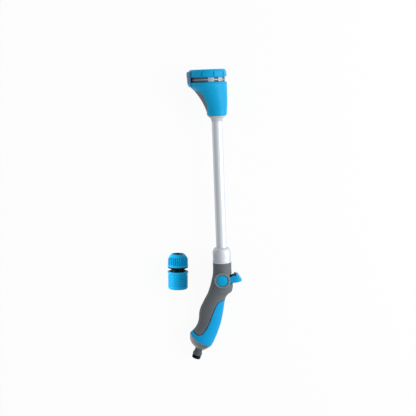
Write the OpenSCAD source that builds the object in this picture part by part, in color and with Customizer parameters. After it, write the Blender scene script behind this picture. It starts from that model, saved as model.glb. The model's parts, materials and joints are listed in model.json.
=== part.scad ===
// Spray wand with a turning pattern head, a thumb lever valve and a loose hose connector.
// The set lies on a table: +Y runs from the hose end to the head, and +Z is up.
// The wand is drawn upright on its tube axis, with z = 0 at the top of the handle and the
// lever towards +x, and is then laid on its side. The connector is drawn upright on its mouth.

/* [Tube] */
// Outer diameter of the tube
tube_d = 18; // [16:0.5:20]
// Wall of the tube
tube_wall = 1.2; // [0.8:0.1:2]
// Bare length of tube between the collar nut and the ferrule
tube_bare = 211; // [120:1:400]
// Length of tube that is hidden in the neck of the valve
tube_sunk_low = 23; // [16:1:24]
// Length of tube that is hidden in the ferrule and the head
tube_sunk_high = 26; // [22:1:28]

/* [Handle] */
// Wall of the grey half shells
handle_wall = 2; // [1.6:0.1:2.4]
// Thickness of the blue skin on the grip
grip_skin = 2.4; // [1.6:0.1:3]
// Step from the boot in to the end cap
cap_step = 0.6; // [0.2:0.1:1.2]
// Radius of the curved foot edge of the boot
boot_edge_r = 51; // [45:1:60]
// Diameter of the shell screws
screw_d = 3; // [2.5:0.5:3.5]

/* [Valve and lever] */
// Pivot axis, measured from the tube axis
hub_x = -1; // [-3:0.5:1]
// Pivot axis, measured down from the top of the handle
hub_drop = 26.5; // [24.5:0.5:28.5]
// Diameter of the turning plug
plug_d = 20; // [18:0.5:21]
// Length of the turning plug
plug_len = 15; // [12:0.5:15]
// Wall of the valve body round the plug
valve_wall = 2.5; // [2:0.25:3.25]
// Diameter of the spindle
spindle_d = 8; // [6:0.5:9]
// Turn of the lever from closed to open, in degrees
lever_travel = 17; // [12:1:19]
// Reach of the lever from the pivot axis to its tip
lever_reach = 33.4; // [32:0.2:40]
// Width of the lever across its cheeks
lever_w = 21.8; // [20:0.2:22]
// Thickness of each lever arm
arm_t = 2.7; // [2:0.1:2.9]
// Diameter of the domed pivot caps
pivot_cap_d = 19.6; // [16:0.2:20]
// Height of the pivot caps above the shell
pivot_cap_h = 3.4; // [2:0.1:3.5]

/* [Inlet] */
// Lean of the inlet from the tube axis, in degrees
inlet_tilt = 19.8; // [19:0.1:20.5]
// Distance from the pivot axis to the tip of the nipple
nipple_reach = 146; // [143:0.5:153]
// Diameter of the nipple at its latching flange
nipple_d = 15.6; // [15:0.1:16]
// Bore of the nipple
nipple_bore = 9; // [7:0.5:9.5]
// Outer diameter of the inlet pipe
pipe_d = 13; // [11:0.5:13]
// Wall of the inlet pipe
pipe_wall = 1.6; // [1:0.1:2]

/* [Collar and ferrule] */
// Height of the silver collar nut
collar_h = 27; // [24:0.5:32]
// Wall of the valve neck outside the tube
neck_wall = 4.2; // [3.6:0.1:4.4]
// Height of the flared ferrule
ferrule_h = 9.5; // [8:0.5:14]
// Flare of the ferrule outside the tube
ferrule_flare = 5; // [3:0.5:5]

/* [Head] */
// Distance of the ring axis from the tube axis
ring_offset = 13.2; // [13:0.1:13.4]
// Outer diameter of the selector ring
ring_d = 63; // [57:0.5:69]
// Height of the selector ring
ring_h = 12.6; // [11:0.2:16]
// Height of the silver band
band_h = 7.8; // [5:0.1:9]
// Step from the ring in to the band
band_step = 2.7; // [0.8:0.1:3.4]
// Wall of the head shell
head_wall = 2.4; // [1.8:0.1:2.6]
// Thickness of the grey thumb pad
insert_t = 1.3; // [1:0.1:1.5]
// Number of spray patterns, and of notches in the ring
patterns = 10; // [6:1:12]
// Radius of each notch
notch_r = 1.7; // [1:0.1:2.5]
// Wall of the selector ring round the spray face
ring_wall = 6.3; // [6:0.1:7]
// Thickness of the spray face
face_t = 4.5; // [3:0.1:5]
// Diameter of the post that the ring turns on
post_d = 10; // [8:0.5:12]

/* [Connector] */
// Diameter of the socket for a nipple
socket_d = 16.2; // [16.1:0.1:16.6]
// Depth of the socket
socket_depth = 14.5; // [13:0.1:14.5]
// Diameter of the sliding collar over its ridges
sleeve_d = 32.8; // [32:0.2:34]
// Length of the sliding collar
sleeve_len = 30; // [29:0.5:31]
// Flare of the collar's upper rim
sleeve_flare = 1.2; // [0.6:0.1:1.6]
// Travel of the sliding collar
sleeve_travel = 4; // [2:0.5:5]
// Diameter of the cap nut at its foot
nut_d = 33.4; // [32:0.2:34]
// Height of the cap nut
nut_h = 21.5; // [21:0.5:26]
// Diameter of the hose entry in the cap nut
hose_hole_d = 18.6; // [17:0.1:18.8]
// Number of grip grooves round the cap nut
nut_grooves = 28; // [8:1:32]

/* [Layout] */
// Mouth of the connector, measured across from the tube axis
connector_across = -76.1; // [-120:0.1:-70]
// Mouth of the connector, measured along from the top of the handle
connector_along = -41.5; // [-80:0.5:20]
// Turn of the connector on the table, in degrees
connector_turn = 2.2; // [0:0.1:5]

/* [Hidden] */
$fn = 64;

// Colours
blue = [0.03, 0.60, 0.86];
grey = [0.36, 0.38, 0.40];
dark = [0.20, 0.21, 0.22];
black = [0.05, 0.05, 0.06];
silver = [0.80, 0.82, 0.84];
white = [0.93, 0.94, 0.95];

// Size of the outlines that cut right through the wand
beyond = 100;

// Clearances: turning fit, fixed fit, joint line between pieces, and free running space
run_gap = 0.05;
fit_gap = 0.05;
seam_gap = 0.12;
free_gap = 0.35;

// Heights up the wand
tube_r = tube_d / 2;
neck_r = tube_r + neck_wall;
handle_r = neck_r + 0.4 + handle_wall;
tube_z0 = collar_h - tube_sunk_low;
ferrule_z0 = collar_h + tube_bare;
head_z0 = ferrule_z0 + ferrule_h;
tube_z1 = ferrule_z0 + tube_sunk_high;
shell_h = 54.5;
shell_edge = 1.1;
band_z0 = head_z0 + shell_h;
ring_z0 = band_z0 + 0.3 + band_h;
ring_top = ring_z0 + ring_h;
ring_r = ring_d / 2;
ring_lip = 1.4;
post_r = post_d / 2;
face_d = ring_d - 2 * ring_wall;
face_r = face_d / 2;
face_z1 = ring_top - 5.3;
face_z0 = face_z1 - face_t;

// Pivot and inlet
hub_z = -hub_drop;
plug_r = plug_d / 2;
valve_r = plug_r + valve_wall;
spindle_r = spindle_d / 2;
// Half width of the plug's slot: the lever's travel just closes it
port_half = plug_r * sin(lever_travel / 2);
port_len = plug_len - 4;
// Width of the webs that join the valve body to its stub and its neck
web_w = plug_len - 1;
seal_t = 0.35;
arm_y1 = lever_w / 2;
arm_y0 = arm_y1 - arm_t;
arm_r = spindle_r + 3;
neck_z0 = hub_z + valve_r + 1.5;
pipe_r = pipe_d / 2;
pipe_s0 = valve_r + 1;
stub_r = pipe_r + 2;
stub_s1 = valve_r + 11;
pipe_seal_s = [stub_s1 - 6, stub_s1 - 2.8];
nipple_r = nipple_d / 2;
nipple_s0 = nipple_reach - 35;
flange_s0 = nipple_reach - 12;
pipe_s1 = nipple_s0 + 10;
neck_bore_r = 6.5;

// Handle outline from the foot up: height, back, front, half width
hub_half = 17;
hub_ring_r = pivot_cap_d / 2 + free_gap;
hub_ring_wall = 2.4;
boot_z = -128;
hollow_z0 = -142;
boot_half = 17.9;
handle_rows = [
    [-149, -48.6, -36.0, 6.6],
    [-146.5, -50.0, -30.0, 10.0],
    [-143, -52.4, -24.8, 13.6],
    [-139, -55.7, -21.0, 16.0],
    [-134, -58.6, -18.2, 17.4],
    [boot_z, -60.0, -15.3, boot_half],
    [-120, -59.0, -11.7, 17.8],
    [-115, -54.0, -9.9, 17.3],
    [-108, -48.0, -7.2, 16.5],
    [-100, -44.3, -4.7, 15.9],
    [-93, -42.6, -3.0, 15.5],
    [-83, -41.6, -0.9, 15.4],
    [-74, -38.6, 0.8, 15.6],
    [-63, -32.9, 2.9, 16.0],
    [-57, -29.5, 5.4, 16.4],
    [-52, -26.7, 10.0, 16.7],
    [-49, -25.3, 14.6, 16.9],
    [-44, -23.4, 16.4, hub_half],
    [-37, -21.0, 17.0, hub_half],
    [-25, -handle_r - 2.2, handle_r + 0.6, handle_r + 1.0],
    [-18, -handle_r - 0.8, handle_r, handle_r + 0.6],
    [-10, -handle_r - 0.1, handle_r - 0.2, handle_r + 0.1],
    [0, -handle_r, handle_r, handle_r]
];
handle_skin = smooth(handle_rows, 2);

// Side view of the upper edge of the blue skin, and the centre of the boot's foot edge
grip_edge = [
    [8, -62.8], [0, -62.6], [-8, -64.8], [-13.9, -73], [-20.4, -88], [-26.9, -103.3],
    [-34, -114.5], [-41.9, -119.3], [-49, -117.4], [-62, -106]
];
boot_edge_x = -16.2;
boot_edge_z = boot_edge_r - 142.3;

// Screw places in the side view, and the depth of the screw heads from the mid-plane
screw_spots = [[9.5, -45.5], [-21.5, -50], [-32, -76], [-40.5, -106]];
screw_seat = 7;
boss_wall = 2;

// Side view of the thumb lever from the pivot, from its upper root clockwise
lever_outline = [
    [10, 0.9], [14, 2.5], [18, 3.4], [21.5, 4.9], [lever_reach - 7.6, 7.1], [lever_reach - 6.1, 6.5],
    [lever_reach - 2.8, 1.7], [lever_reach, -3.4], [lever_reach - 0.6, -4.4],
    [27, -5.3], [19.5, -5.9], [10, -7.6]
];
// Slope of the lever's upper edge as seen from the pivot
lever_rise = 12;
lever_corner_r = 7;
core_x1 = hub_x + 24;
core_sink = 0.5;
slot_z0 = hub_z - 8.4;
slot_z1 = hub_z + (handle_r - hub_x) * tan(lever_rise + lever_travel) + free_gap;

// Back and front of the head at its neck and at its rim
neck_back = -tube_r - ferrule_flare - 0.6;
neck_front = tube_r + ferrule_flare + 1;
rim_back = -ring_r - ring_offset;
rim_front = ring_r - ring_offset;
function to_back(share) = neck_back + share * (rim_back - neck_back);
function to_front(share) = neck_front + share * (rim_front - neck_front);

// Bell of the head as shares of the way from its neck to its rim: height, back, front
bell = [
    [0.128, 0.075, 0.6], [0.248, 0.153, 0.775], [0.376, 0.253, 0.9], [0.505, 0.383, 0.975],
    [0.624, 0.52, 1.01], [0.743, 0.682, 1.025], [0.817, 0.812, 1.025], [0.89, 0.925, 1.01]
];
// Head outline from the neck up: height, back, front, half width
head_rows = [
    for (row = smooth(concat(
        [[0, neck_back, neck_front], [0.9, neck_back - 1.4, neck_front + 1.4]],
        [for (b = bell) [b[0] * shell_h, to_back(b[1]), to_front(b[2])]],
        [[shell_h - shell_edge, rim_back, rim_front], [shell_h, rim_back + 0.6, rim_front - 0.6]]
    ), 2)) [head_z0 + row[0], row[1], row[2], (row[2] - row[1]) / 2]
];
// Side view of the edge of the thumb pad, as shares of the same way: back, height
insert_edge = [
    for (p = [[0.675, 0.756], [0.442, 0.717], [0.256, 0.635], [0.146, 0.512], [0.062, 0.378],
        [0.023, 0.244], [0.055, 0.15]]) [to_back(p[0]), p[1] * shell_h]
];

// Turning parts of the head
core_r = ring_r - head_wall - 1.9;
core_t = 3.5;
port_r = ring_offset - post_r - 1.9;
seal_w = 1.4;
window_r = 3.2;
click_r = face_r - 4.2;
ball_r = 1.75;
groove_depth = 0.9;
disc_r = face_r;
seal_h = 0.5;
disc_z0 = band_z0 + seal_h + 0.1;
// Rings of nozzles on the spray face: radius and number
nozzle_rings = [[face_r - 3.8, 24], [face_r - 9, 16], [face_r - 14.2, 10]];
nozzle_r = 1.5;
// Tab on the rim: its width round the ring in degrees
tab_sweep = 62;

// Connector heights above its mouth
waist_r = 11.7;
socket_r = socket_d / 2;
socket_wall = 4.1;
collar_seat_r = socket_r + socket_wall;
collar_slide_r = collar_seat_r + free_gap;
stem_bore = 4.5;
stem_r = 6.4;
sleeve_r = sleeve_d / 2;
sleeve_wall = 1.9;
sleeve_bore = sleeve_r - sleeve_wall;
sleeve_rim_r = sleeve_r + sleeve_flare;
mouth_lip = 1.5;
ridges = 7;
ridge_pitch = (sleeve_len - 9) / ridges;
jaws = 3;
jaw_w = 3.5;
flange_c0 = sleeve_len + sleeve_travel + 2;
nut_c0 = flange_c0 + 2;
thread_c1 = nut_c0 + 9;
thread_r = 12.6;
hose_r = hose_hole_d / 2;
nut_top = nut_c0 + nut_h;
nut_hole_len = 4;
gripper_t = 1.4;
gripper_bite = 0.5;
shoulder_c0 = 12.6;
shoulder_c1 = 15;
stop_c0 = sleeve_len - 3.5;
spring_wire_r = 0.6;
spring_r = (sleeve_bore + collar_seat_r) / 2;

// How the wand lies: it rests on the rim of the head shell and on the boot
rest_tilt = atan((ring_r - boot_half) / (band_z0 - shell_edge - boot_z));
rest_height = boot_half * cos(rest_tilt) - boot_z * sin(rest_tilt);
tip_low = hub_z - nipple_reach * cos(inlet_tilt) - (nipple_r - 1.4) * sin(inlet_tilt);
rim_across = connector_across + (sleeve_len - 2) * sin(connector_turn) - sleeve_rim_r * cos(connector_turn);
origin_x = (hub_x + lever_reach + rim_across) / 2;
origin_y = (ring_top * cos(rest_tilt) + (face_r + ring_lip) * sin(rest_tilt) + tip_low * cos(rest_tilt)) / 2;

// Smooth curve through a list of points or rows
function curve(a, b, c, d, t) =
    0.5 * (2 * b + (c - a) * t + (2 * a - 5 * b + 4 * c - d) * t * t
    + (3 * b - a - 3 * c + d) * t * t * t);
function smooth(list, steps) = [
    for (i = [0 : len(list) - 2], k = [0 : steps - 1])
        curve(list[max(i - 1, 0)], list[i], list[i + 1], list[min(i + 2, len(list) - 1)], k / steps),
    list[len(list) - 1]
];

// Rows drawn in by a wall
function shrink(rows, wall) = [for (r = rows) [r[0], r[1] + wall, r[2] - wall, r[3] - wall]];

// Points of a quarter of an ellipse, from the side to the top
function quarter(x, z, wide, high, steps) = [
    for (k = [0 : steps]) [x + wide * cos(90 * k / steps), z + high * sin(90 * k / steps)]
];

// Closed body through oval rows, lowest row first
module loft(rows, sides = 32) {
    last = len(rows) - 1;
    points = [
        for (r = rows, k = [0 : sides - 1])
            let (a = 360 * k / sides)
                [(r[1] + r[2]) / 2 + (r[2] - r[1]) / 2 * cos(a), r[3] * sin(a), r[0]]
    ];
    walls = [
        for (i = [0 : last - 1], k = [0 : sides - 1])
            let (a = i * sides, b = a + sides, n = (k + 1) % sides)
                each [[a + k, b + k, b + n], [a + k, b + n, a + n]]
    ];
    foot = [for (k = [0 : sides - 1]) k];
    top = [for (k = [sides - 1 : -1 : 0]) last * sides + k];
    polyhedron(points, concat([foot], walls, [top]));
}

// Joins lofted bodies into one skin of flat facets
module skin() resize([0, 0, 0]) children();

// A side view outline, given depth across the wand
module slab(depth = beyond) rotate([90, 0, 0]) linear_extrude(height = depth, center = true) children();

// A turned shape on the pivot axis, whose outer end points to the near or the far side
module on_pivot(side) translate([hub_x, 0, hub_z]) rotate([90 * side, 0, 0]) children();

// The inlet axis: distances run from the pivot to the nipple
module on_inlet() translate([hub_x, 0, hub_z]) rotate([180, 0, 0]) rotate([0, -inlet_tilt, 0]) children();

// The axis that the selector ring turns on
module on_ring() translate([-ring_offset, 0, 0]) children();

// The wand on the table
module lay_wand() translate([-origin_x, -origin_y, rest_height]) rotate([rest_tilt - 90, 0, 0]) children();

// The connector on the table
module lay_connector()
    translate([connector_across - origin_x, connector_along - origin_y, sleeve_rim_r])
        rotate([0, 0, -connector_turn]) rotate([-90, 0, 0]) children();

// Ring of round section, with its inner radius and wire radius
module o_ring(inner, wire) rotate_extrude() translate([inner + wire, 0]) circle(r = wire, $fn = 24);

// Tube from z0 to z1
module sleeve(outer, inner, z0, z1) rotate_extrude()
    translate([inner, z0]) square([outer - inner, z1 - z0]);

// Coil spring from z0 to z1
module coil(radius, wire, z0, z1, turns) {
    steps = turns * 14;
    sides = 6;
    points = [
        for (i = [0 : steps], k = [0 : sides - 1])
            let (a = 360 * turns * i / steps, b = 360 * k / sides, r = radius + wire * cos(b))
                [r * cos(a), r * sin(a), z0 + wire + (z1 - z0 - 2 * wire) * i / steps + wire * sin(b)]
    ];
    walls = [
        for (i = [0 : steps - 1], k = [0 : sides - 1])
            let (a = i * sides, b = a + sides, n = (k + 1) % sides)
                each [[a + k, a + n, b + n], [a + k, b + n, b + k]]
    ];
    foot = [for (k = [sides - 1 : -1 : 0]) k];
    top = [for (k = [0 : sides - 1]) steps * sides + k];
    polyhedron(points, concat([foot], walls, [top]));
}

// Side view regions of the handle
module grip_region() polygon(concat(smooth(grip_edge, 3), [
    [-beyond, grip_edge[len(grip_edge) - 1][1]], [-beyond, -2 * beyond],
    [beyond, -2 * beyond], [beyond, grip_edge[0][1]]
]));
module foot_region() difference() {
    translate([-beyond, -2 * beyond]) square([2 * beyond, beyond]);
    translate([boot_edge_x, boot_edge_z]) circle(r = boot_edge_r, $fn = 160);
}
module slot_region() translate([8, slot_z0]) square([30, slot_z1 - slot_z0]);

// Hollow of the handle: the wall is thicker where the blue skin lies on it
function wall_at(z) = handle_wall + (grip_skin + seam_gap) * min(max((-55 - z) / 8, 0), 1);
module handle_hollow() loft([
    for (r = concat(handle_skin, [[10, -handle_r, handle_r, handle_r]]))
        if (r[0] > hollow_z0) [r[0], r[1] + wall_at(r[0]), r[2] - wall_at(r[0]), r[3] - wall_at(r[0])]
]);

// Grey handle before it is split, with the skin's recess and the lever's slot
module handle_body() difference() {
    union() {
        difference() {
            loft(handle_skin);
            slab() offset(delta = seam_gap) grip_region();
        }
        loft(shrink(handle_skin, grip_skin + seam_gap));
    }
    handle_hollow();
    slab() offset(delta = seam_gap) foot_region();
    slab(lever_w + 2 * free_gap) slot_region();
}

// Screw places, pointing to the near or the far side
module at_screws(side) for (p = screw_spots)
    translate([p[0], 0, p[1]]) rotate([90 * side, 0, 0]) children();

// One half of the handle: side is 1 for the near half, and -1 for the far half
module handle_half(side) difference() {
    skin() difference() {
        union() {
            intersection() {
                handle_body();
                translate([-beyond, side > 0 ? -beyond : 0, -2 * beyond])
                    cube([2 * beyond, beyond, 3 * beyond]);
            }
            on_pivot(side)
                sleeve(hub_ring_r + hub_ring_wall, hub_ring_r, hub_half - 4, hub_half + 1.7, $fn = 48);
            intersection() {
                loft(shrink(handle_skin, handle_wall / 2));
                at_screws(side) cylinder(r = screw_d / 2 + boss_wall, h = 30, $fn = 24);
            }
        }
        at_screws(side) cylinder(r = screw_d / 2 + fit_gap, h = screw_seat + 0.3, $fn = 24);
        if (side < 0) at_screws(side) translate([0, 0, screw_seat - seam_gap])
            cylinder(r = screw_d, h = 30, $fn = 24);
    }
    on_pivot(side) cylinder(r = spindle_r + run_gap, h = 40);
}

module handle_shell_near() color(grey) lay_wand() handle_half(1);

module handle_shell_far() color(grey) lay_wand() handle_half(-1);

module grip_overmould() color(blue) lay_wand() skin() difference() {
    intersection() {
        loft(handle_skin);
        slab() grip_region();
    }
    slab() foot_region();
    loft(shrink(handle_skin, grip_skin));
}

module shell_screws() color(silver) lay_wand() at_screws(-1) difference() {
    union() {
        translate([0, 0, -screw_seat]) cylinder(d = screw_d, h = 2 * screw_seat);
        translate([0, 0, screw_seat]) cylinder(r = screw_d - 0.2, h = 2);
    }
    for (a = [0, 90]) rotate(a) translate([-1.6, -0.4, screw_seat + 1]) cube([3.2, 0.8, 2]);
}

module end_cap() color(dark) lay_wand() difference() {
    skin() difference() {
        intersection() {
            loft(shrink(handle_skin, cap_step));
            slab() foot_region();
        }
        handle_hollow();
    }
    on_inlet() {
        cylinder(r = pipe_r + fit_gap, h = nipple_reach);
        translate([0, 0, flange_s0 - seam_gap]) cylinder(r = nipple_r + seam_gap, h = nipple_reach);
    }
}

// Nipple with its inner stem, latching flange and seal groove
module hose_nipple() color(dark) lay_wand() on_inlet() difference() {
    rotate_extrude() polygon([
        [nipple_bore / 2, nipple_s0], [pipe_r, nipple_s0], [pipe_r, flange_s0],
        [nipple_r - 0.5, flange_s0 + 0.5], [nipple_r, flange_s0 + 1],
        [nipple_r, nipple_reach - 6.2], [nipple_r - 2, nipple_reach - 5.8],
        [nipple_r - 2, nipple_reach - 2.9], [nipple_r - 0.6, nipple_reach - 2.7],
        [nipple_r - 0.6, nipple_reach - 0.8], [nipple_r - 1.4, nipple_reach],
        [nipple_bore / 2, nipple_reach]
    ]);
    translate([0, 0, nipple_s0 - 1]) cylinder(r = pipe_r - 1.2, h = pipe_s1 - nipple_s0 + 1);
}

module nipple_o_ring() color(black) lay_wand() on_inlet()
    translate([0, 0, nipple_reach - 4.35]) o_ring(nipple_r - 1.95, 0.85);

// Mesh cup that sits in the nipple's inner stem
module inlet_filter() color(silver) lay_wand() on_inlet() difference() {
    union() {
        translate([0, 0, pipe_s1 - 1]) cylinder(r = pipe_r - 1.25, h = 0.9);
        translate([0, 0, pipe_s1 - 1]) cylinder(r = nipple_bore / 2 - 0.2, h = 9);
    }
    translate([0, 0, pipe_s1 - 2]) cylinder(r = nipple_bore / 2 - 0.9, h = 9.2);
    for (row = [0 : 2], a = [0 : 7]) translate([0, 0, pipe_s1 + 1.3 + 2 * row])
        rotate([0, 90, 45 * a]) cylinder(r = 0.6, h = 9);
}

// Pipe with a thinner tail that plugs into the nipple's stem
module inlet_pipe() color(white) lay_wand() on_inlet() difference() {
    union() {
        translate([0, 0, pipe_s0]) cylinder(r = pipe_r, h = nipple_s0 - 0.2 - pipe_s0);
        translate([0, 0, pipe_s0]) cylinder(r = pipe_r - 1.3, h = pipe_s1 - 1.1 - pipe_s0);
    }
    translate([0, 0, pipe_s0 - 1]) cylinder(r = pipe_r - 1.3 - pipe_wall, h = nipple_reach);
}

module pipe_seals() color(black) lay_wand() on_inlet() for (s = pipe_seal_s)
    translate([0, 0, s]) o_ring(pipe_r + fit_gap, 0.7);

// Narrow water slot that runs up from a height
module port(width, from) translate([-port_half, -width / 2, from]) cube([2 * port_half, width, 20]);

// Valve body: cross cylinder for the plug, stub for the inlet pipe and threaded neck for the tube
module valve_body() color(dark) lay_wand() difference() {
    union() {
        on_pivot(1) cylinder(r = valve_r, h = plug_len, center = true);
        on_inlet() {
            translate([-stub_r, -web_w / 2, arm_r + 1]) cube([2 * stub_r, web_w, valve_r - arm_r]);
            translate([0, 0, valve_r]) cylinder(r = stub_r, h = stub_s1 - valve_r);
        }
        translate([-stub_r, -web_w / 2, hub_z + arm_r + 1])
            cube([2 * stub_r, web_w, neck_z0 - hub_z - arm_r]);
        translate([0, 0, neck_z0]) cylinder(r = neck_r, h = collar_h - 10 - neck_z0);
    }
    on_pivot(1) cylinder(r = plug_r + run_gap, h = plug_len + 20, center = true);
    on_inlet() {
        translate([0, 0, pipe_s0]) cylinder(r = pipe_r + fit_gap, h = 40);
        port(port_len, plug_r - 2);
        for (s = pipe_seal_s) translate([0, 0, s]) sleeve(pipe_r + 1.6, pipe_r - 1, -0.8, 0.8);
    }
    translate([0, 0, neck_z0]) cylinder(r = neck_bore_r, h = 60);
    translate([0, 0, tube_z0]) cylinder(r = tube_r + fit_gap, h = 60);
    translate([hub_x, 0, hub_z]) port(port_len, plug_r - 2);
    translate([0, 0, collar_h - 14]) sleeve(tube_r + 1.7, tube_r - 1, -0.85, 0.85);
}

module valve_end_seals() color(black) lay_wand() for (side = [1, -1]) on_pivot(side)
    sleeve(valve_r - 0.4, spindle_r + run_gap, plug_len / 2, plug_len / 2 + seal_t);

// Plug with its spindle; its slot stands across the ports while the lever is closed
module valve_plug() color(white) lay_wand() difference() {
    union() {
        on_pivot(1) cylinder(r = plug_r, h = plug_len - 0.1, center = true);
        on_pivot(1) cylinder(r = spindle_r, h = 2 * (hub_half + 1), center = true);
    }
    translate([hub_x, 0, hub_z]) rotate([0, lever_travel, 0]) {
        port(port_len, 0);
        rotate([0, 180 + inlet_tilt, 0]) port(port_len - 0.6, 0);
    }
}

// Lever seen from the side, and from above
module lever_side() translate([hub_x, hub_z]) polygon(lever_outline);
module lever_plan() translate([hub_x, 0]) hull() {
    translate([0, -lever_w / 2]) square([lever_reach / 2, lever_w]);
    for (y = [-1, 1]) translate([lever_reach - lever_corner_r, y * (lever_w / 2 - lever_corner_r)])
        circle(r = lever_corner_r, $fn = 32);
}

// Lever with two arms, two cheeks and a paddle
module thumb_lever() color(blue) lay_wand() difference() {
    union() {
        intersection() {
            slab(lever_w) lever_side();
            linear_extrude(height = 200, center = true) lever_plan();
        }
        on_pivot(1) cylinder(r = arm_r, h = lever_w, center = true);
        translate([hub_x, -lever_w / 2, hub_z - arm_r + 2.5]) cube([12, lever_w, 2 * arm_r - 5]);
    }
    translate([-30, -arm_y0, -60]) cube([30 + core_x1, 2 * arm_y0, 60]);
    on_pivot(1) cylinder(r = spindle_r + fit_gap, h = 60, center = true);
}

// Black block between the cheeks of the lever
module lever_core() color(black) lay_wand() intersection() {
    slab(2 * (arm_y0 - fit_gap)) difference() {
        intersection() {
            lever_side();
            translate([0, -core_sink]) lever_side();
        }
        translate([hub_x, hub_z]) circle(r = valve_r + 1);
    }
    translate([0, -50, -100]) cube([core_x1 - fit_gap, 100, 100]);
}

// Domed cap on one end of the spindle
module pivot_cap(side) on_pivot(side) difference() {
    rotate_extrude() polygon(concat(
        [[0, hub_half + fit_gap], [pivot_cap_d / 2, hub_half + fit_gap]],
        quarter(0, hub_half + 1.2, pivot_cap_d / 2, pivot_cap_h - 1.2, 10)));
    cylinder(r = spindle_r + fit_gap, h = hub_half + 1 + fit_gap);
}

module pivot_cap_near() color(blue) lay_wand() pivot_cap(1);

module pivot_cap_far() color(blue) lay_wand() pivot_cap(-1);

// Dome nut on the neck of the valve
module collar_nut() color(silver) lay_wand() rotate_extrude() polygon(concat(
    [[neck_r + fit_gap, 0.1], [handle_r - 0.2, 0.1], [handle_r + 0.3, 0.6], [handle_r + 0.3, 1.8],
     [handle_r - 0.2, 2.4]],
    quarter(tube_r + 0.5, collar_h - 10, handle_r - tube_r - 0.7, 10, 12),
    [[tube_r + fit_gap, collar_h - 0.3], [tube_r + fit_gap, collar_h - 6],
     [neck_r + fit_gap, collar_h - 9.8]]));

module tube() color(silver) lay_wand() sleeve(tube_r, tube_r - tube_wall, tube_z0 + 0.1, tube_z1);

module tube_seals() color(black) lay_wand() for (z = [collar_h - 14, tube_z1 - 4])
    translate([0, 0, z]) o_ring(tube_r + fit_gap, 0.75);

module neck_ferrule() color(white) lay_wand() rotate_extrude() polygon(concat(
    [[tube_r + fit_gap, ferrule_z0], [tube_r + 0.4, ferrule_z0]],
    [for (p = quarter(0, 0, 1, 1, 8)) [tube_r + 0.4 + (ferrule_flare - 1.2) * (1 - p[0]),
        ferrule_z0 + 1 + (ferrule_h - 3.2) * p[1]]],
    [[tube_r + ferrule_flare - 0.3, head_z0 - 1.9], [tube_r + ferrule_flare, head_z0 - 1.6],
     [tube_r + ferrule_flare, head_z0 - 0.1], [tube_r + fit_gap, head_z0 - 0.1]]));

// Side view of the thumb pad, closed behind the head
module insert_region() translate([0, head_z0]) polygon(concat(
    smooth(insert_edge, 3), [[2 * neck_back, 2], [1.3 * rim_back, 20], [1.3 * rim_back, 0.78 * shell_h]]));

// Hollow of the head, open at the top
module head_hollow() {
    rim = [band_z0 + 5, -ring_r - ring_offset, ring_r - ring_offset, ring_r];
    loft([for (r = shrink(concat(head_rows, [rim]), head_wall)) if (r[0] > head_z0 + 3) r], 40);
}

module head_shell() color(blue) lay_wand() difference() {
    skin() difference() {
        loft(head_rows, 40);
        head_hollow();
        difference() {
            slab() offset(delta = seam_gap) insert_region();
            loft(shrink(head_rows, insert_t + seam_gap), 40);
        }
    }
    cylinder(r = tube_r + fit_gap, h = head_z0 + 20);
}

module head_insert() color(grey) lay_wand() skin() difference() {
    intersection() {
        loft(head_rows, 40);
        slab() insert_region();
    }
    loft(shrink(head_rows, insert_t), 40);
}

// Tab on the back of the rim
module index_tab() color(grey) lay_wand() on_ring() rotate([0, 0, 180 - tab_sweep / 2])
    rotate_extrude(angle = tab_sweep) polygon([
        [ring_r - 2.1, band_z0 - 7.2], [ring_r - 1.2, band_z0 - 7.2], [ring_r + 0.9, band_z0 - 4.2],
        [ring_r + 1.8, band_z0 - 1], [ring_r + 1.9, band_z0 + 5], [ring_r + 2.6, ring_z0 + 4],
        [ring_r + 2.2, ring_z0 + 8.3], [ring_r + 0.8, ring_z0 + 9.8], [ring_r + free_gap, ring_z0 + 9.5],
        [ring_r + free_gap, band_z0 - 0.5], [ring_r + 0.15, band_z0 - 1]
    ]);

// Manifold: socket for the tube, plate with one port and post for the turning parts
module head_core() color(dark) lay_wand() difference() {
    union() {
        translate([0, 0, tube_z1 - 8]) cylinder(r = tube_r + 2, h = band_z0 - core_t - tube_z1 + 8.5);
        on_ring() translate([0, 0, band_z0 - core_t]) cylinder(r = core_r, h = core_t);
        on_ring() translate([0, 0, band_z0 - 1]) cylinder(r = post_r, h = face_z1 + 0.3 - band_z0 + 1);
        on_ring() translate([0, click_r, band_z0 - 10.5]) cylinder(r = ball_r + 1.6, h = 8);
    }
    translate([0, 0, tube_z1 - 20]) cylinder(r = tube_r + fit_gap, h = 20.2);
    translate([0, 0, tube_z1 - 4]) sleeve(tube_r + 1.6, tube_r - 1, -0.85, 0.85);
    cylinder(r = port_r, h = band_z0 + 1);
    on_ring() translate([0, click_r, band_z0 - 9.5]) cylinder(r = ball_r + 0.1, h = 20);
    on_ring() translate([0, 0, face_z1 - 9]) cylinder(r = 1.6, h = 20);
}

module port_seal() color(black) lay_wand() sleeve(port_r + seal_w, port_r, band_z0, band_z0 + seal_h);

// Turning disc with one window for each pattern and a track for the click ball
module distributor() color(white) lay_wand() on_ring() difference() {
    translate([0, 0, disc_z0]) cylinder(r = disc_r, h = face_z0 - disc_z0 - 0.1);
    cylinder(r = post_r + run_gap, h = ring_top);
    for (a = [0 : patterns - 1]) rotate(360 * a / patterns) translate([ring_offset, 0, 0])
        cylinder(r = window_r, h = ring_top);
    sleeve(click_r + ball_r + free_gap, click_r - ball_r - free_gap, disc_z0 - 1, disc_z0 + groove_depth);
    for (a = [0 : patterns - 1]) rotate(90 + 360 * a / patterns) translate([click_r, 0, 0])
        cylinder(r = ball_r + 0.2, h = disc_z0 + groove_depth + 0.5);
}

// Places of the nozzles on the spray face
module at_nozzles() on_ring() for (ring = nozzle_rings, k = [0 : ring[1] - 1])
    rotate(360 * (k + 0.5) / ring[1]) translate([ring[0], 0, 0]) children();

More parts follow.
